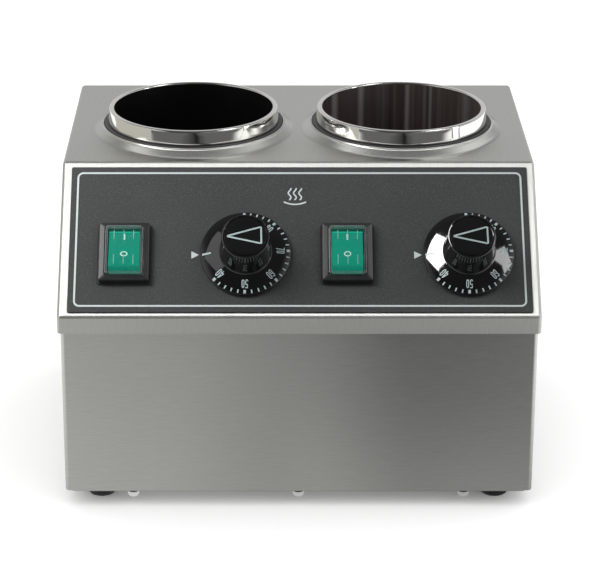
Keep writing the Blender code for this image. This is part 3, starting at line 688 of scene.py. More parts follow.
def make_cover():
    bm = bmesh.new()
    n, steps, seg = 9, 8, 160
    xc = HALF - FOLD
    fills = {}
    shells = []
    for shell, t in (("out", 0.0), ("in", SHEET)):
        cols = []
        for side in (-1, 1):
            order = range(steps, -1, -1) if side < 0 else range(steps + 1)
            for k in order:
                a = math.pi / 2 * k / steps
                rf = FOLD - t
                d = t + rf * (1 - math.cos(a))
                x = side * (xc + rf * math.sin(a))
                cols.append([bm.verts.new(Vector((x, y, z)) * MM)
                             for y, z in section(d, 3.0, n)])
        shells.append(cols)
        count = len(cols[0])
        flat = {n + 1: "slope", 2 * n + 2: "deck", 3 * n + 3: "rear"}
        for c in range(len(cols) - 1):
            for j in range(count - 1):
                if c == steps and j in flat:
                    q = (cols[c][j], cols[c + 1][j], cols[c + 1][j + 1], cols[c][j + 1])
                    edges = []
                    for i in range(4):
                        e = bm.edges.get((q[i], q[(i + 1) % 4]))
                        edges.append(e or bm.edges.new((q[i], q[(i + 1) % 4])))
                    fills[(shell, flat[j])] = edges
                    continue
                bm.faces.new((cols[c][j], cols[c + 1][j], cols[c + 1][j + 1],
                              cols[c][j + 1]))
        bm.faces.new(cols[0])
        bm.faces.new(cols[-1])
    lips = []
    for cols in shells:
        lips.append([c[0] for c in cols] + [c[-1] for c in reversed(cols)])
    m = len(lips[0])
    for i in range(m):
        j = (i + 1) % m
        bm.faces.new((lips[0][i], lips[0][j], lips[1][j], lips[1][i]))

    def bridge(a, b):
        k = len(a)
        for i in range(k):
            j = (i + 1) % k
            bm.faces.new((a[i], a[j], b[j], b[i]))

    def loop_edges(vs):
        return [bm.edges.get((vs[i], vs[(i + 1) % len(vs)]))
                or bm.edges.new((vs[i], vs[(i + 1) % len(vs)])) for i in range(len(vs))]

    # drawn collars round the wells
    prof = [(60.6, 0.0), (60.1, 0.05), (59.6, 0.17), (59.1, 0.37), (58.6, 0.63)]
    prof += [(58.6 - 3.9 * k / 6, 0.63 + 2.36 * k / 6) for k in range(1, 7)]
    prof += [(54.42, 3.19), (54.2, 3.42), (54.02, 3.72), (53.9, 4.0), (53.78, 4.16),
             (53.6, 4.25), (53.45, 4.22), (53.3, 4.08), (53.3, 3.1), (53.5, 2.95)]
    prof += [(54.3 + 4.2 * k / 6 - 0.3, 1.95 - 2.75 * k / 6) for k in range(7)]
    prof.append((59.2, -SHEET))
    for side in POT:
        c = POT[side]
        rings = [[bm.verts.new(Vector((x, y, DECK_Z + z)) * MM)
                  for x, y in ring(r, seg, c.x, c.y)] for r, z in prof]
        for a, b in zip(rings, rings[1:]):
            bridge(a, b)
        fills[("out", "deck")] += loop_edges(rings[0])
        fills[("in", "deck")] += loop_edges(rings[-1])
    # openings in the slope and rear
    holes = []
    for side in POT:
        holes.append(("slope", [panel(SWITCH_X[side] + x, SWITCH_S - y, 0.0).translation
                                for x, y in rect(22.0, 31.0, 0.8, seg=4)]))
        holes.append(("slope", [panel(DIAL_X[side] + x, DIAL_S - y, 0.0).translation
                                for x, y in ring(5.6, 40)]))
        sx = -1 if side == "left" else 1
        holes.append(("rear", [Vector((sx * 90.0 + x, Y1, SKIRT_Z + 4.0 + z)) * MM
                               for x, z in ring(2.4, 32)]))
    for where, pts in holes:
        push = (Vector((0, SA, -CA)) if where == "slope" else Vector((0, -1, 0))) * SHEET * MM
        a = [bm.verts.new(p) for p in pts]
        b = [bm.verts.new(p + push) for p in pts]
        bridge(a, b)
        fills[("out", where)] += loop_edges(a)
        fills[("in", where)] += loop_edges(b)
    for edges in fills.values():
        bmesh.ops.triangle_fill(bm, edges=edges, use_beauty=True, use_dissolve=False)
    return bm


piece("deck_cover", make_cover(), M["cover"], node="top_cover", sharp=32.0)

# ------------------------------------------------------------------ case body
HX, HY0, HY1 = HALF - SHEET - 0.4, Y0 + SHEET + 0.4, Y1 - SHEET - 0.4
BODY_Z, BODY_TOP = H_LO.z, H_HI.z


def body_loop(inset, r, z, seg=8):
    x, y0, y1 = HX - inset, HY0 + inset, HY1 - inset
    return [(px, py, z) for px, py in
            rounded([(-x, y0), (x, y0), (x, y1), (-x, y1)], r, seg)]


loops = [body_loop(0, 2.4, BODY_TOP), body_loop(0, 2.4, BODY_Z + 0.7)]
for k in range(1, 5):
    a = math.radians(22.5 * k)
    i = 0.7 * (1 - math.cos(a))
    loops.append(body_loop(i, 2.4 - i, BODY_Z + 0.7 * (1 - math.sin(a))))
loops += [body_loop(12.0, 3.0, BODY_Z), body_loop(12.0, 3.0, BODY_Z + SHEET),
          body_loop(1.8, 0.6, BODY_Z + SHEET), body_loop(1.35, 1.05, BODY_Z + SHEET + 0.25),
          body_loop(1.2, 1.2, BODY_Z + 1.8), body_loop(1.2, 1.2, BODY_TOP)]
UP_Y = Matrix(((1, 0, 0, 0), (0, 0, 1, 0), (0, -1, 0, 0), (0, 0, 0, 1)))


def stick(r, n, z0, z1, cx=0.0, cy=0.0, xf=None):
    bm = loft([[(x, y, z0) for x, y in ring(r, n, cx, cy)],
               [(x, y, z1) for x, y in ring(r, n, cx, cy)]], closed=False, caps=True)
    if xf is not None:
        bmesh.ops.transform(bm, matrix=xf, verts=bm.verts)
    return bm


SCREWS = {(row, tag): (bx(f"{row}_{tag}_screw")[0] + bx(f"{row}_{tag}_screw")[1]) / 2
          for row in ("front", "rear") for tag in ("left", "middle", "right")}
G_LO, G_HI = bx("gland_body")
GX, GZ = (G_LO.x + G_HI.x) / 2, (G_LO.z + G_HI.z) / 2
tools = [stick(2.45, 28, BODY_Z - 3, BODY_Z + 4, c.x, c.y) for c in SCREWS.values()]
tools += [stick(2.4, 28, HY1 - 4, HY1 + 4, sx * 90.0, -(SKIRT_Z + 4.0), UP_Y)
          for sx in (-1, 1)]
tools.append(stick(8.4, 48, HY1 - 4, HY1 + 4, GX, -GZ, UP_Y))
piece("case_body", booled(loft(loops), merged(tools)), M["wall"], node="lower_housing",
      sharp=32.0)

# ------------------------------------------------------------------ overlay
MID = (S0 + S1) / 2
OV = panel(OVERLAY_X, MID)
OVERLAY_H = S1 - S0


def on_overlay(x, s):
    """Overlay-frame place of a point given in panel coordinates."""
    return x - OVERLAY_X, MID - s


outer = rect(OVERLAY_W, OVERLAY_H, 1.0, seg=6)
holes = []
for side in POT:
    cx, cy = on_overlay(SWITCH_X[side], SWITCH_S)
    holes.append(rect(22.0, 31.0, 0.8, cx, cy, 4))
    cx, cy = on_overlay(DIAL_X[side], DIAL_S)
    holes.append(ring(5.6, 40, cx, cy))
piece("overlay_film", slab(outer, holes, 0.3, 0.9), M["film"], OV, node="control_overlay",
      bevel=0.12)

# printed border, pointers and a generic heat mark
LINE = 1.05
INSET = 3.3
bm = slab(rect(OVERLAY_W - 2 * INSET, OVERLAY_H - 2 * INSET, 3.5, seg=10),
          [rect(OVERLAY_W - 2 * INSET - 2 * LINE, OVERLAY_H - 2 * INSET - 2 * LINE,
                3.5 - LINE, seg=10)], 0.87, 0.94)
piece("printed_border", bm, M["ink"], OV, weighted=False)
bm = bmesh.new()
for side in POT:
    cx, cy = on_overlay(DIAL_X[side], DIAL_S)
    x1 = cx - 25.5 - 0.7
    blot(bm, [(x1, cy), (x1 - 4.3, cy + 2.3), (x1 - 4.3, cy - 2.3)], level(0.9))
piece("printed_pointers", bm, M["ink"], OV, weighted=False)
bm = bmesh.new()
cx, cy = on_overlay(-2.2, 23.5)
for dx in (-3.0, 0.0, 3.0):
    wave = [(cx + dx + 0.75 * math.sin(2 * math.pi * k / 16), cy - 1.2 + 7.0 * k / 20)
            for k in range(21)]
    ribbon(bm, wave, 0.8, level(0.9), hi=0.04)
ribbon(bm, [(cx - 6.0 + 12.0 * k / 12, cy - 4.2 + 1.4 * ((k - 6) / 6) ** 2)
            for k in range(13)], 0.9, level(0.9), hi=0.04)
piece("printed_heat_mark", bm, M["ink"], OV, weighted=False)

# ------------------------------------------------------------------ wells and pots
SEG = 160
for side in POT:
    xf = Matrix.Translation(Vector((POT[side].x, POT[side].y, DECK_Z)) * MM)
    lift = f"{side}_lift_out_pot"
    rim = [(47.0, 12.3)]
    rim += [(47.75 - 0.75 * math.cos(math.radians(a)), 12.62 + 0.78 * math.sin(math.radians(a)))
            for a in (15, 35, 55, 75, 90)]
    rim += [(49.15 + 0.8 * math.sin(math.radians(a)), 12.55 + 0.85 * math.cos(math.radians(a)))
            for a in (0, 20, 40, 60, 80)]
    rim += [(50.0, 12.3), (50.2, 10.4), (50.4, 8.5), (50.62, 6.4), (50.72, 5.45),
            (50.66, 5.15), (50.4, 5.05), (49.95, 5.05), (49.75, 5.25), (49.7, 6.0),
            (48.95, 12.0), (47.8, 12.0)]
    inner = [(0, -131.0), (38.0, -131.0), (41.5, -130.6), (44.2, -129.4), (46.0, -127.4),
             (46.8, -125.0), (47.0, -122.0), (47.0, -60.0), (47.0, 0.0)]
    outer = [(47.8, -122.0), (47.6, -125.6), (46.8, -128.2), (44.8, -130.4),
             (42.0, -131.6), (38.0, -132.0), (0, -132.0)]
    prof = inner + rim + outer
    inside = len(inner)
    mats = [1 if i < inside else 0 for i in range(len(prof))]
    piece(f"{side}_pot_shell", lathe(prof, SEG, closed=False, mats=mats),
          [M["rim"], M["coating"] if side == "left" else M["well"]], xf, lift,
          f"{side}_pot", sharp=40.0, weighted=False)
    can = [(0, -134.5), (44.0, -134.5), (48.6, -133.3), (49.8, -129.5), (49.8, 3.3),
           (50.6, 3.3), (50.6, -1.6), (59.0, -1.6), (59.0, -2.4), (50.6, -2.4),
           (50.6, -129.8), (49.0, -134.0), (44.4, -135.3), (0, -135.3)]
    piece(f"{side}_well_can", lathe(can, 128, closed=False), M["can"], xf, "case",
          f"{side}_well", weighted=False)
    prof = rounded([(50.95, -1.0), (52.95, -1.0), (52.95, 4.7), (49.6, 4.7), (49.6, 3.8),
                    (50.95, 3.8)], [0, 0, 0.45, 0.3, 0.2, 0], 4)
    piece(f"{side}_gasket_ring", lathe(prof, SEG), M["silicone"], xf, "case",
          f"{side}_gasket", weighted=False)

# ------------------------------------------------------------------ dials
GLYPHS = {
    "0": [[(0.75, 4.6)] + arc(0.75, 3.85, 0.55, 0.75, 90, 0, 6) + arc(0.75, 1.15, 0.55, 0.75, 0, -180, 12)
          + arc(0.75, 3.85, 0.55, 0.75, 180, 90, 6)],
    "4": [[(1.15, 0.2), (1.15, 4.75), (0.95, 4.75), (0.1, 1.55), (0.1, 1.25), (1.6, 1.25)]],
    "5": [[(1.35, 4.7), (0.25, 4.7), (0.25, 2.75)] + arc(0.72, 2.45, 0.55, 0.55, 140, 0, 8)
          + arc(0.72, 1.05, 0.55, 0.75, 0, -165, 10)],
    "6": [arc(0.75, 3.95, 0.55, 0.70, 20, 180, 8) + arc(0.75, 1.05, 0.55, 0.75, 180, 360, 12)
          + arc(0.75, 2.25, 0.55, 0.60, 0, 160, 8)],
    "7": [[(0.15, 4.7), (1.4, 4.7), (1.35, 4.1), (0.95, 2.6), (0.7, 0.25)]],
    "8": [arc(0.75, 3.70, 0.50, 0.95, -90, 270, 18), arc(0.75, 1.45, 0.57, 1.15, -90, 270, 18)],
    "9": [arc(0.75, 1.05, 0.55, 0.70, 200, 360, 8) + arc(0.75, 3.95, 0.55, 0.75, 0, 180, 12)
          + arc(0.75, 2.75, 0.55, 0.60, 180, 340, 8)],
}
MARKS = {"40": 223.0, "50": 269.0, "60": 315.7, "70": 2.8, "80": 48.2, "90": 92.1}
DIGIT_PITCH = 2.05


def on_skirt(x, y, h):
    r = math.hypot(x, y)
    return Vector((x, y, 3.4 + (25.5 - r) * (5.5 - 3.4) / (25.5 - 16.8) + h))


for side in POT:
    xf = panel(DIAL_X[side], DIAL_S)
    dial = f"{side}_dial"
    prof = [(0, 16.5), (3.35, 16.5), (3.35, 1.9), (5.4, 1.9), (5.4, 2.9), (23.8, 2.9),
            (24.4, 1.9), (25.2, 1.9), (25.42, 2.05), (25.5, 2.35), (25.5, 3.05),
            (25.42, 3.28), (25.2, 3.45)]
    prof += [(20.0, 4.723), (15.1, 5.9)]
    hub = []
    for k in range(1, 7):
        a = math.radians(74.0 * k / 6)
        hub.append((15.1 - 1.05 * math.sin(a) / math.sin(math.radians(74)),
                    5.9 + 1.3 * (1 - math.cos(a)) / (1 - math.cos(math.radians(74)))))
    prof += hub + [(13.4, 24.5)]
    prof += [(12.6 + 0.8 * math.cos(math.radians(a)), 24.8 + 0.8 * math.sin(math.radians(a)))
             for a in (0, 18, 36, 54, 72, 90)]
    prof += [(12.25, 25.6), (12.15, 25.5), (12.15, 24.2), (0, 24.2)]
    piece(f"{side}_dial_shell", lathe(prof, SEG, closed=False), M["gloss"], xf, dial,
          f"{side}_knob", sharp=40.0, weighted=False)
    cap = [(0, 24.55), (11.5, 24.55), (11.8, 24.8), (11.8, 25.25), (11.72, 25.42),
           (11.5, 25.52), (8.0, 25.57), (0, 25.6)]
    piece(f"{side}_dial_cap", lathe(cap, 128, closed=False), M["gloss"], xf, dial,
          f"{side}_knob_cap", sharp=50.0, weighted=False)
    # marks that follow the conical skirt
    bm = bmesh.new()
    for text, ang in MARKS.items():
        a = math.radians(ang)
        u = Vector((math.cos(a), math.sin(a)))
        tick = [(u * (22.95 + 1.95 * k / 4))[:] for k in range(5)]
        ribbon(bm, tick, 1.45, on_skirt, ends=False)
        # digits read from outside, their feet towards the middle
        right = Vector((math.sin(a), -math.cos(a)))
        for i, ch in enumerate(text):
            for g in GLYPHS[ch]:
                gx = [(x + (i - 0.5) * DIGIT_PITCH - 0.75, y - 2.45) for x, y in g]
                pts = [(u * (19.5 + y * 0.98) + right * x)[:] for x, y in gx]
                ends = [Vector(pts[0]), Vector(pts[-1])]
                loop = (ends[0] - ends[1]).length < 0.05
                ribbon(bm, pts[:-1] if loop else pts, 0.52, on_skirt, closed=loop,
                       hi=0.055, lo=-0.04)
    names = list(MARKS.values())
    span = [((b - a) % 360) for a, b in zip(names, names[1:])]
    for a0, d in zip(names, span):
        for k in range(1, 5):
            a = math.radians(a0 + d * k / 5)
            u = Vector((math.cos(a), math.sin(a)))
            ribbon(bm, [(u * (22.95 + 1.95 * j / 4))[:] for j in range(5)], 0.75, on_skirt,
                   ends=False)
    tilt = math.radians(8.0)
    ribbon(bm, [(-24.3 + 4.9 * math.cos(tilt) * j / 8, -1.2 + 4.9 * math.sin(tilt) * j / 8)
                for j in range(9)], 1.05, on_skirt, ends=False)
    piece(f"{side}_dial_scale", bm, M["dial_ink"], xf, dial,
          weighted=False)
    # outlined pointer on the cap
    bm = bmesh.new()
    tri = [(-10.4, -0.1), (8.7, 5.6), (8.9, -4.6)]
    path = []
    for i in range(3):
        p, q = Vector(tri[i]), Vector(tri[(i + 1) % 3])
        path += [(p + (q - p) * t)[:] for t in (0.04, 0.35, 0.65, 0.96)]
    ribbon(bm, path, 0.95, level(25.57), closed=True, hi=0.07, lo=-0.05)
    piece(f"{side}_dial_pointer", bm, M["dial_ink"], xf, dial,
          weighted=False)

# ------------------------------------------------------------------ switches
TILT = math.radians(7.0)
PIVOT = -2.5
for side in POT:
    xf = panel(SWITCH_X[side], SWITCH_S)
    body = f"{side}_switch_rocker"

    def frame_loop(w, h, r, z):
        return [(x, y, z) for x, y in rect(w, h, r, seg=6)]

    loops = [frame_loop(30.0, 37.0, 1.9, 1.2), frame_loop(30.4, 37.4, 2.0, 1.35),
             frame_loop(30.4, 37.4, 2.0, 1.7), frame_loop(30.1, 37.1, 1.9, 1.9),
             frame_loop(28.3, 35.5, 0.9, 1.9), frame_loop(28.2, 35.4, 0.85, 2.1),
             frame_loop(28.2, 35.4, 0.85, 5.02)]
    for k in range(1, 4):
        a = math.radians(26.0 * k)
        i = 0.9 * (1 - math.cos(a))
        loops.append(frame_loop(28.2 - i, 35.4 - i, 0.85 - i / 4, 5.02 + 0.45 * math.sin(a)))
    loops += [frame_loop(22.6, 31.0, 1.3, 5.88), frame_loop(22.2, 30.6, 1.2, 5.9),
              frame_loop(21.6, 30.0, 1.1, 5.7),
              frame_loop(21.2, 29.6, 1.0, 5.3), frame_loop(18.9, 27.9, 0.6, 5.2),
              frame_loop(18.8, 27.8, 0.6, 5.0), frame_loop(18.8, 27.8, 0.6, 1.2)]
    piece(f"{side}_bezel_frame", loft(loops), M["satin"], xf, "case",
          f"{side}_switch_bezel", sharp=42.0)
    # rocker
    top = []
    for k in range(25):
        y = -11.2 + 22.4 * k / 24
        top.append((y, 5.3 + 1.2 * (y / 11.2) ** 2))
    low = [(11.8, 5.0), (12.3, 2.0), (12.0, -2.0), (8.0, -7.5), (-8.0, -7.5),
           (-12.0, -2.0), (-12.3, 2.0), (-11.8, 5.0)]
    outline = top + low
    half = 17.2 / 2
    bm = loft([[(-half, y, z) for y, z in outline], [(half, y, z) for y, z in outline]],
              closed=False, caps=True)
    axle = loft([[(x, PIVOT * 0 + py, PIVOT + pz) for py, pz in ring(1.45, 32)]
                 for x in (-10.1, 10.1)], closed=False, caps=True)
    bm = booled(bm, axle, "UNION")
    tip = (Matrix.Translation((0, 0, PIVOT * MM)) @ Matrix.Rotation(-TILT, 4, "X")
           @ Matrix.Translation((0, 0, -PIVOT * MM)))
    piece(f"{side}_rocker_lens", bm, M["green"], xf @ tip, body, f"{side}_rocker",
          sharp=30.0, bevel=0.45)

    def on_rocker(x, y, h):
        return Vector((x, y, 5.3 + 1.2 * (y / 11.2) ** 2 + h))

    bm = bmesh.new()
    ribbon(bm, [(0.0, 9.4 - 2.6 * k / 4) for k in range(5)], 1.0, on_rocker, hi=0.05)
    ribbon(bm, arc(0.0, -2.8, 1.75, 1.45, 0, 345, 23), 0.62, on_rocker, closed=True,
           hi=0.05)
    piece(f"{side}_rocker_marks", bm, M["green_mark"], xf @ tip, body,
          weighted=False)
    # ribs moulded on the clear boot, drawn as opaque strokes whose pale colour is painted highlight
    bm = bmesh.new()
    for y0, y1 in ((10.9, 5.5), (-4.2, -9.8)):
        for x in (-5.45, 0.0, 5.45):
            ribbon(bm, [(x, y0 + (y1 - y0) * k / 6) for k in range(7)], 0.34, level(9.88),
                   hi=0.06, lo=-0.1)
    piece(f"{side}_boot_ribs", bm, M["rib"], xf, "case",
          weighted=False)
    # clear boot
    def boot(w, h, r, z):
        return [(x, y, z) for x, y in rect(w, h, r, seg=8)]

    inner = [boot(13.0, 21.4, 0.8, 9.12), boot(17.4, 25.8, 0.9, 9.12),
             boot(18.2, 26.6, 0.9, 9.0), boot(18.7, 27.1, 0.9, 8.5), boot(18.8, 27.2, 0.9, 6.0)]
    outerl = [boot(21.3, 29.9, 1.3, 5.98), boot(21.4, 30.0, 1.4, 6.2), boot(21.0, 29.2, 1.4, 6.35)]
    outerl += [boot(20.6, 28.8, 1.6, 6.7), boot(20.5, 28.7, 1.6, 8.6)]
    for k in range(1, 7):
        a = math.radians(15 * k)
        i = 2.6 * (1 - math.cos(a))
        outerl.append(boot(20.5 - i, 28.7 - i, 1.6 - i / 5, 8.6 + 1.3 * math.sin(a)))
    outerl += [boot(13.0, 21.4, 0.9, 9.9)]
    piece(f"{side}_boot_shell", loft(inner + outerl, closed=False, caps=True), M["clear"],
          xf, "case", f"{side}_splash_cover", sharp=60.0)

# ------------------------------------------------------------------ screws and feet
for (row, tag), c in SCREWS.items():
    head = [(0, -4.1), (0.9, -4.06), (1.7, -3.9), (2.4, -3.5), (2.95, -2.85), (3.25, -2.05),
            (3.35, -1.2), (3.3, -0.5), (3.1, -0.3), (2.0, -0.3), (2.0, 7.6), (1.6, 8.5),
            (0, 8.7)]
    bm = lathe(head, 48, closed=False)
    bm = booled(bm, slab(rect(3.6, 0.8), [], -6.0, -3.2))
    piece(f"{row}_{tag}_pan_screw", bm, M["screw"],
          Matrix.Translation(Vector((c.x, c.y, 8.5)) * MM), "case",
          f"{row}_{tag}_screw", sharp=35.0)
for row in ("front", "rear"):
    for side in POT:
        lo, hi = bx(f"{row}_{side}_foot")
        foot = rounded([(2.3, 3.4), (4.3, 3.4), (4.3, 0.0), (7.4, 0.0), (8.3, 1.6),
                        (8.3, 8.2), (2.3, 8.2)], [0, 0, 0.3, 0.8, 1.2, 0.2, 0], 5)
        piece(f"{row}_{side}_rubber_foot", lathe(foot, 64), M["rubber"],
              Matrix.Translation(Vector(((lo.x + hi.x) / 2, (lo.y + hi.y) / 2, 0)) * MM),
              "case", f"{row}_{side}_foot", sharp=50.0, weighted=False)
for side, sx in (("left", -1), ("right", 1)):
    prof = [(0, -2.55), (1.3, -2.5), (2.5, -2.2), (3.3, -1.55), (3.6, -0.95), (3.6, -0.4),
            (3.5, -0.3), (1.9, -0.3), (1.9, 7.8), (1.5, 8.6), (0, 9.0)]
    bm = booled(lathe(prof, 48, closed=False), slab(rect(4.8, 0.9), [], -5.0, -1.75))
    piece(f"back_{side}_pan_screw", bm, M["screw"],
          Matrix.Translation(Vector((sx * 90.0, Y1, SKIRT_Z + 4.0)) * MM)
          @ Matrix.Rotation(math.radians(90), 4, "X"), "case", f"back_{side}_screw",
          sharp=35.0)

# ------------------------------------------------------------------ supply entry
GY = (Matrix.Translation(Vector((GX, HY1, GZ)) * MM)
      @ Matrix.Rotation(math.radians(-90), 4, "X"))
prof = [(4.2, -12.0), (7.9, -12.0)]
for k in range(8):
    z = -11.4 + 1.3 * k
    prof += [(7.9, z), (7.45, z + 0.4), (7.9, z + 0.8)]
prof += [(7.9, 0.2), (7.9, 7.6), (7.2, 10.2), (6.9, 10.6), (4.2, 10.6)]
bm = lathe(prof, 64)
hexa = loft([[(x, y, z) for x, y in rounded(ring(10.8 - i, 6), 0.6, 3)]
             for z, i in ((0.4, 0.0), (4.6, 0.0), (5.0, 0.5))], closed=False, caps=True)
hexa = booled(hexa, stick(7.0, 64, -2, 8))
bm = booled(bm, hexa, "UNION")
piece("gland_stem", bm, M["nylon"], GY, "case", "gland_body", sharp=35.0)
dome = [(4.7, 5.4 + 7.6), (4.7, 16.0), (5.0, 16.2), (6.0, 16.2), (7.3, 15.6), (8.4, 14.6),
        (9.3, 13.1), (10.0, 11.4), (10.2, 10.3), (10.2, 5.4), (8.5, 5.4), (8.5, 11.4)]
bm = lathe(dome, 64)
grip = loft([[(x, y, z) for x, y in rounded(ring(11.6 - i, 6), 0.6, 3)]
             for z, i in ((5.4, 0.3), (5.7, 0.0), (9.6, 0.0), (10.0, 0.4))], closed=False,
            caps=True)
grip = booled(grip, stick(9.3, 64, 3, 12))
bm = booled(bm, grip, "UNION")
piece("gland_dome", bm, M["nylon"], GY, "case", "gland_dome_nut", sharp=35.0)

# ------------------------------------------------------------------ kept nodes
for name, node in NODES.items():
    if node.hide_render:
        continue
    if name.endswith("heater_band"):
        mat = M["mica"]
    elif name.endswith("insulation"):
        mat = M["fibre"]
    elif name.endswith("thermal_cutout"):
        mat = M["phenolic"]
    elif name.endswith("capillary"):
        mat = M["copper"]
    elif name.endswith("thermostat") or name == "earth_stud":
        mat = M["case"]
    elif name.endswith("spindle"):
        mat = M["bright"]
    elif name.endswith("switch_body") or name == "gland_lock_nut":
        mat = M["nylon"]
    elif name == "terminal_block":
        mat = M["cream"]
    else:
        mat = M["plate"]
    node.data.materials.clear()
    node.data.materials.append(mat)

# ------------------------------------------------------------------ room
def floor_material():
    """White paper for the camera; for everything else a glow painted by position, in bright and dark bands
    across the floor and brighter close in on the right, in place of a lit table.
    """
    m, t, b = material("floor_paper")
    t.n.remove(b)
    out = t.n["Material Output"]
    geo = t.new("ShaderNodeNewGeometry")
    x, y, z = t.xyz(geo.outputs["Position"])
    seen = t.new("ShaderNodeLightPath").outputs["Is Camera Ray"]
    grain = t.noise(geo.outputs["Position"], 300.0, 3.0, 0.5)
    # painted light: glow set by position, bright at the sides, darkest just right of the middle, fading far away
    painted_glow_bands = t.ramp(t.remap(x, -0.6, 0.6, 0.0, 1.0),
                  [(0.0, 1.30), (0.28, 0.90), (0.35, 0.70), (0.42, 0.60), (0.50, 0.42), (0.565, 0.17),
                   (0.63, 0.20), (0.72, 0.75), (0.95, 1.25)], "EASE")
    close = t.remap(y, -0.16, -0.30, 0.22, 0.0, True)
    painted_glow_bands = t.math("ADD", painted_glow_bands, t.math("MULTIPLY", close, t.remap(x, -0.05, 0.1, 0.2, 1.0, True)))
    far = t.remap(y, -0.60, -0.95, 1.0, 0.12, True)
    glow = t.math("MULTIPLY", t.math("MULTIPLY", painted_glow_bands, far),
                  t.remap(grain, 0.3, 0.7, 0.99, 1.01))
    d = t.new("ShaderNodeEmission")
    t.put(d.inputs["Color"], t.vec(glow, glow, t.math("MULTIPLY", glow, 0.985)))
    e = t.new("ShaderNodeBsdfDiffuse")
    bright = t.remap(grain, 0.3, 0.7, 0.796, 0.804)
    t.put(e.inputs["Color"], t.vec(bright, bright, bright))
    base = t.new("ShaderNodeEmission")
    base.inputs["Color"].default_value = (1, 1, 1, 1)
    base.inputs["Strength"].default_value = PAPER
    both = t.new("ShaderNodeAddShader")
    t.l.new(e.outputs[0], both.inputs[0])
    t.l.new(base.outputs[0], both.inputs[1])
    mix = t.new("ShaderNodeMixShader")
    t.put(mix.inputs[0], seen)
    t.l.new(d.outputs[0], mix.inputs[1])
    t.l.new(both.outputs[0], mix.inputs[2])
    t.l.new(mix.outputs[0], out.inputs["Surface"])
    return m


PAPER = 0.06
bm = bmesh.new()
bmesh.ops.create_grid(bm, x_segments=2, y_segments=2, size=6.0)
me = bpy.data.meshes.new("floor")
bm.to_mesh(me)
bm.free()
me.materials.append(floor_material())
floor = bpy.data.objects.new("floor", me)
COLL.objects.link(floor)


def card(name, centre, size, target, colour, power, soft=0.0):
    """Glowing card seen only in reflections, brighter towards its middle."""
    m, t, b = material(name)
    t.n.remove(b)
    e = t.new("ShaderNodeEmission")
    e.inputs["Color"].default_value = (*colour, 1)
    tc = t.new("ShaderNodeTexCoord").outputs["Object"]
    x, y, z = t.xyz(tc)
    fx = t.remap(t.math("ABSOLUTE", x), 0.5, 0.5 - max(soft, 0.001) / 2, 0.0, 1.0, True)
    fy = t.remap(t.math("ABSOLUTE", y), 0.5, 0.5 - max(soft, 0.001) / 2, 0.0, 1.0, True)
    t.put(e.inputs["Strength"], t.math("MULTIPLY", t.math("MULTIPLY", fx, fy), power))
    t.l.new(e.outputs[0], t.n["Material Output"].inputs["Surface"])
    bm = bmesh.new()
    bmesh.ops.create_grid(bm, x_segments=1, y_segments=1, size=0.5)
    me = bpy.data.meshes.new(name)
    bm.to_mesh(me)
    bm.free()
    me.materials.append(m)
    ob = bpy.data.objects.new(name, me)
    COLL.objects.link(ob)
    q = (Vector(target) - Vector(centre)).to_track_quat("Z", "Y")
    ob.matrix_world = (Matrix.Translation(centre) @ q.to_matrix().to_4x4()
                       @ Matrix.Diagonal((*size, 1.0, 1.0)))
    ob.visible_camera = False
    ob.visible_diffuse = False
    ob.visible_shadow = False
    ob.visible_transmission = False
    return ob


def softbox(name, centre, size, target, radiance, glossy=True, diffuse=True):
    la = bpy.data.lights.new(name, "AREA")
    la.shape = "RECTANGLE"
    la.size, la.size_y = size
    la.energy = radiance * math.pi * size[0] * size[1]
    ob = bpy.data.objects.new(name, la)
    COLL.objects.link(ob)
    q = (Vector(target) - Vector(centre)).to_track_quat("-Z", "Y")
    ob.matrix_world = Matrix.Translation(centre) @ q.to_matrix().to_4x4()
    ob.visible_camera = False
    ob.visible_glossy = glossy
    ob.visible_diffuse = diffuse
    return ob


card("card_left", (-0.80, 0.05, 0.36), (1.1, 0.72), (0.0, 0.05, 0.36), (1.0, 0.965, 0.87),
     0.62)
card("card_right", (0.74, -0.20, 0.26), (0.16, 0.60), (0.1, 0.0, 0.2), (1.0, 1.0, 1.0),
     7.0, 0.9)
def link(light, name, obs):
    """Lets a lamp reach only these objects."""
    c = bpy.data.collections.new(name)
    for ob in obs:
        c.objects.link(ob)
    light.light_linking.receiver_collection = c


shown = [ob for ob in COLL.objects if ob.type == "MESH" and not ob.hide_render]
model = [ob for ob in shown if ob is not floor]
dial_l = [ob for ob in model if ob.name in ("left_dial_shell", "left_dial_scale")]
dial_r = [ob for ob in model if ob.name in ("right_dial_shell", "right_dial_scale")]
caps = [ob for ob in model if ob.name.endswith(("_dial_cap", "_dial_pointer"))]
plain = [ob for ob in model if ob not in dial_l + dial_r + caps]
sheet = [ob for ob in plain if "_pot" not in ob.name and "rim" not in ob.name]

sun = bpy.data.lights.new("paper_light", "SUN")
sun.energy = 4.06
sun.angle = math.radians(140)
sun_ob = bpy.data.objects.new("paper_light", sun)
COLL.objects.link(sun_ob)
sun_ob.rotation_euler = (math.radians(16), math.radians(4), 0)
link(sun_ob, "paper_only", [floor])

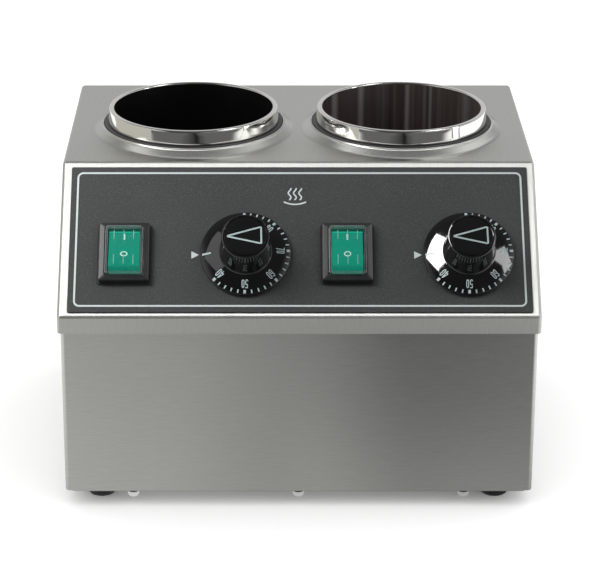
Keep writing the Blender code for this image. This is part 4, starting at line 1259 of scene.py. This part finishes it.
link(softbox("soft_left", (-0.66, -0.40, 1.15), (0.42, 0.55), (0.0, -0.05, 0.15), 9.0),
     "l1", sheet)
link(softbox("soft_right", (0.70, -0.42, 1.12), (0.36, 0.55), (0.0, -0.05, 0.15), 5.0),
     "l2", plain)
link(softbox("soft_right_dial", (0.86, -0.50, 1.10), (0.35, 0.55), (0.0, -0.05, 0.15), 6.0,
             diffuse=False), "l3", dial_r)
link(softbox("back_left", (-0.44, 0.36, 1.10), (0.22, 0.24), (0.0, 0.05, 0.2), 3.0,
             diffuse=False), "l4", sheet)
link(softbox("back_right", (0.54, 0.44, 1.00), (0.22, 0.24), (0.0, 0.05, 0.2), 3.0,
             diffuse=False), "l5", sheet)
link(softbox("kick_right", (-0.215, -0.31, 0.88), (0.36, 0.42), (0.0618, -0.05, 0.15), 26.0,
             diffuse=False), "l6", dial_r)
link(softbox("kick_left", (-0.34, -0.31, 0.88), (0.36, 0.42), (-0.0618, -0.05, 0.15), 1.2,
             diffuse=False), "l7", dial_l)
link(softbox("wash_left", (-0.30, -0.16, 0.42), (0.15, 0.15), (-0.05, -0.05, 0.13), 9.0,
             glossy=False), "l8", model)
link(softbox("wash_top", (0.0, 0.1, 1.8), (1.8, 1.4), (0.0, 0.0, 0.0), 0.2, glossy=False),
     "l9", model)

world = bpy.data.worlds.new("studio")
bpy.context.scene.world = world
world.use_nodes = True
t = Tree(world.node_tree)
bg = t.n["Background"]
tc = t.new("ShaderNodeTexCoord")
dx, dy, dz = t.xyz(tc.outputs["Generated"])


def lin(stops):
    return [((z + 1) / 2, c) for z, c in stops]


up = t.remap(dz, -1.0, 1.0, 0.0, 1.0)
back = t.ramp(up, lin([(-1, 0.34), (-0.1, 0.52), (0.2, 0.66), (0.50, 0.64), (0.66, 0.22),
                       (0.95, 0.15)]))
front = t.ramp(up, lin([(-1, 0.3), (0.0, 0.6), (0.25, 0.7), (0.5, 1.0), (0.72, 0.9), (0.86, 0.3), (0.95, 0.15)]))
dark = t.ramp(up, lin([(-1, 0.05), (0.0, 0.06), (0.5, 0.07), (0.74, 0.08),
                       (0.86, 0.12), (0.95, 0.12)]))
grey = t.ramp(up, lin([(-1, 0.15), (0.0, 0.22), (0.3, 0.26), (0.42, 0.12), (0.74, 0.10),
                       (0.86, 0.12), (0.95, 0.12)]))
dark = t.mix(t.remap(dx, 0.10, 0.32, 0.0, 1.0, True), dark, grey)
wide = t.remap(t.math("ABSOLUTE", dx), 0.45, 0.80, 0.0, 1.0, True)
front = t.mix(wide, dark, front)
side_mix = t.remap(dy, -0.15, 0.35, 0.0, 1.0, True)
t.put(bg.inputs["Color"], t.mix(side_mix, front, back))
bg.inputs["Strength"].default_value = 1.0

# ------------------------------------------------------------------ camera
cam = bpy.data.cameras.new("camera")
cam.lens = 145.454
cam.sensor_width = 36.0
cam.sensor_fit = "HORIZONTAL"
cam.shift_x = 0.05089
cam.clip_start, cam.clip_end = 0.05, 60.0
ob = bpy.data.objects.new("camera", cam)
COLL.objects.link(ob)
ob.location = (-0.016634, -1.363615, 0.630)
ob.rotation_euler = (math.radians(90 - 21.674), 0.0, 0.0)
bpy.context.scene.camera = ob
bpy.context.scene.view_settings.view_transform = "Standard"
bpy.context.scene.view_settings.look = "None"
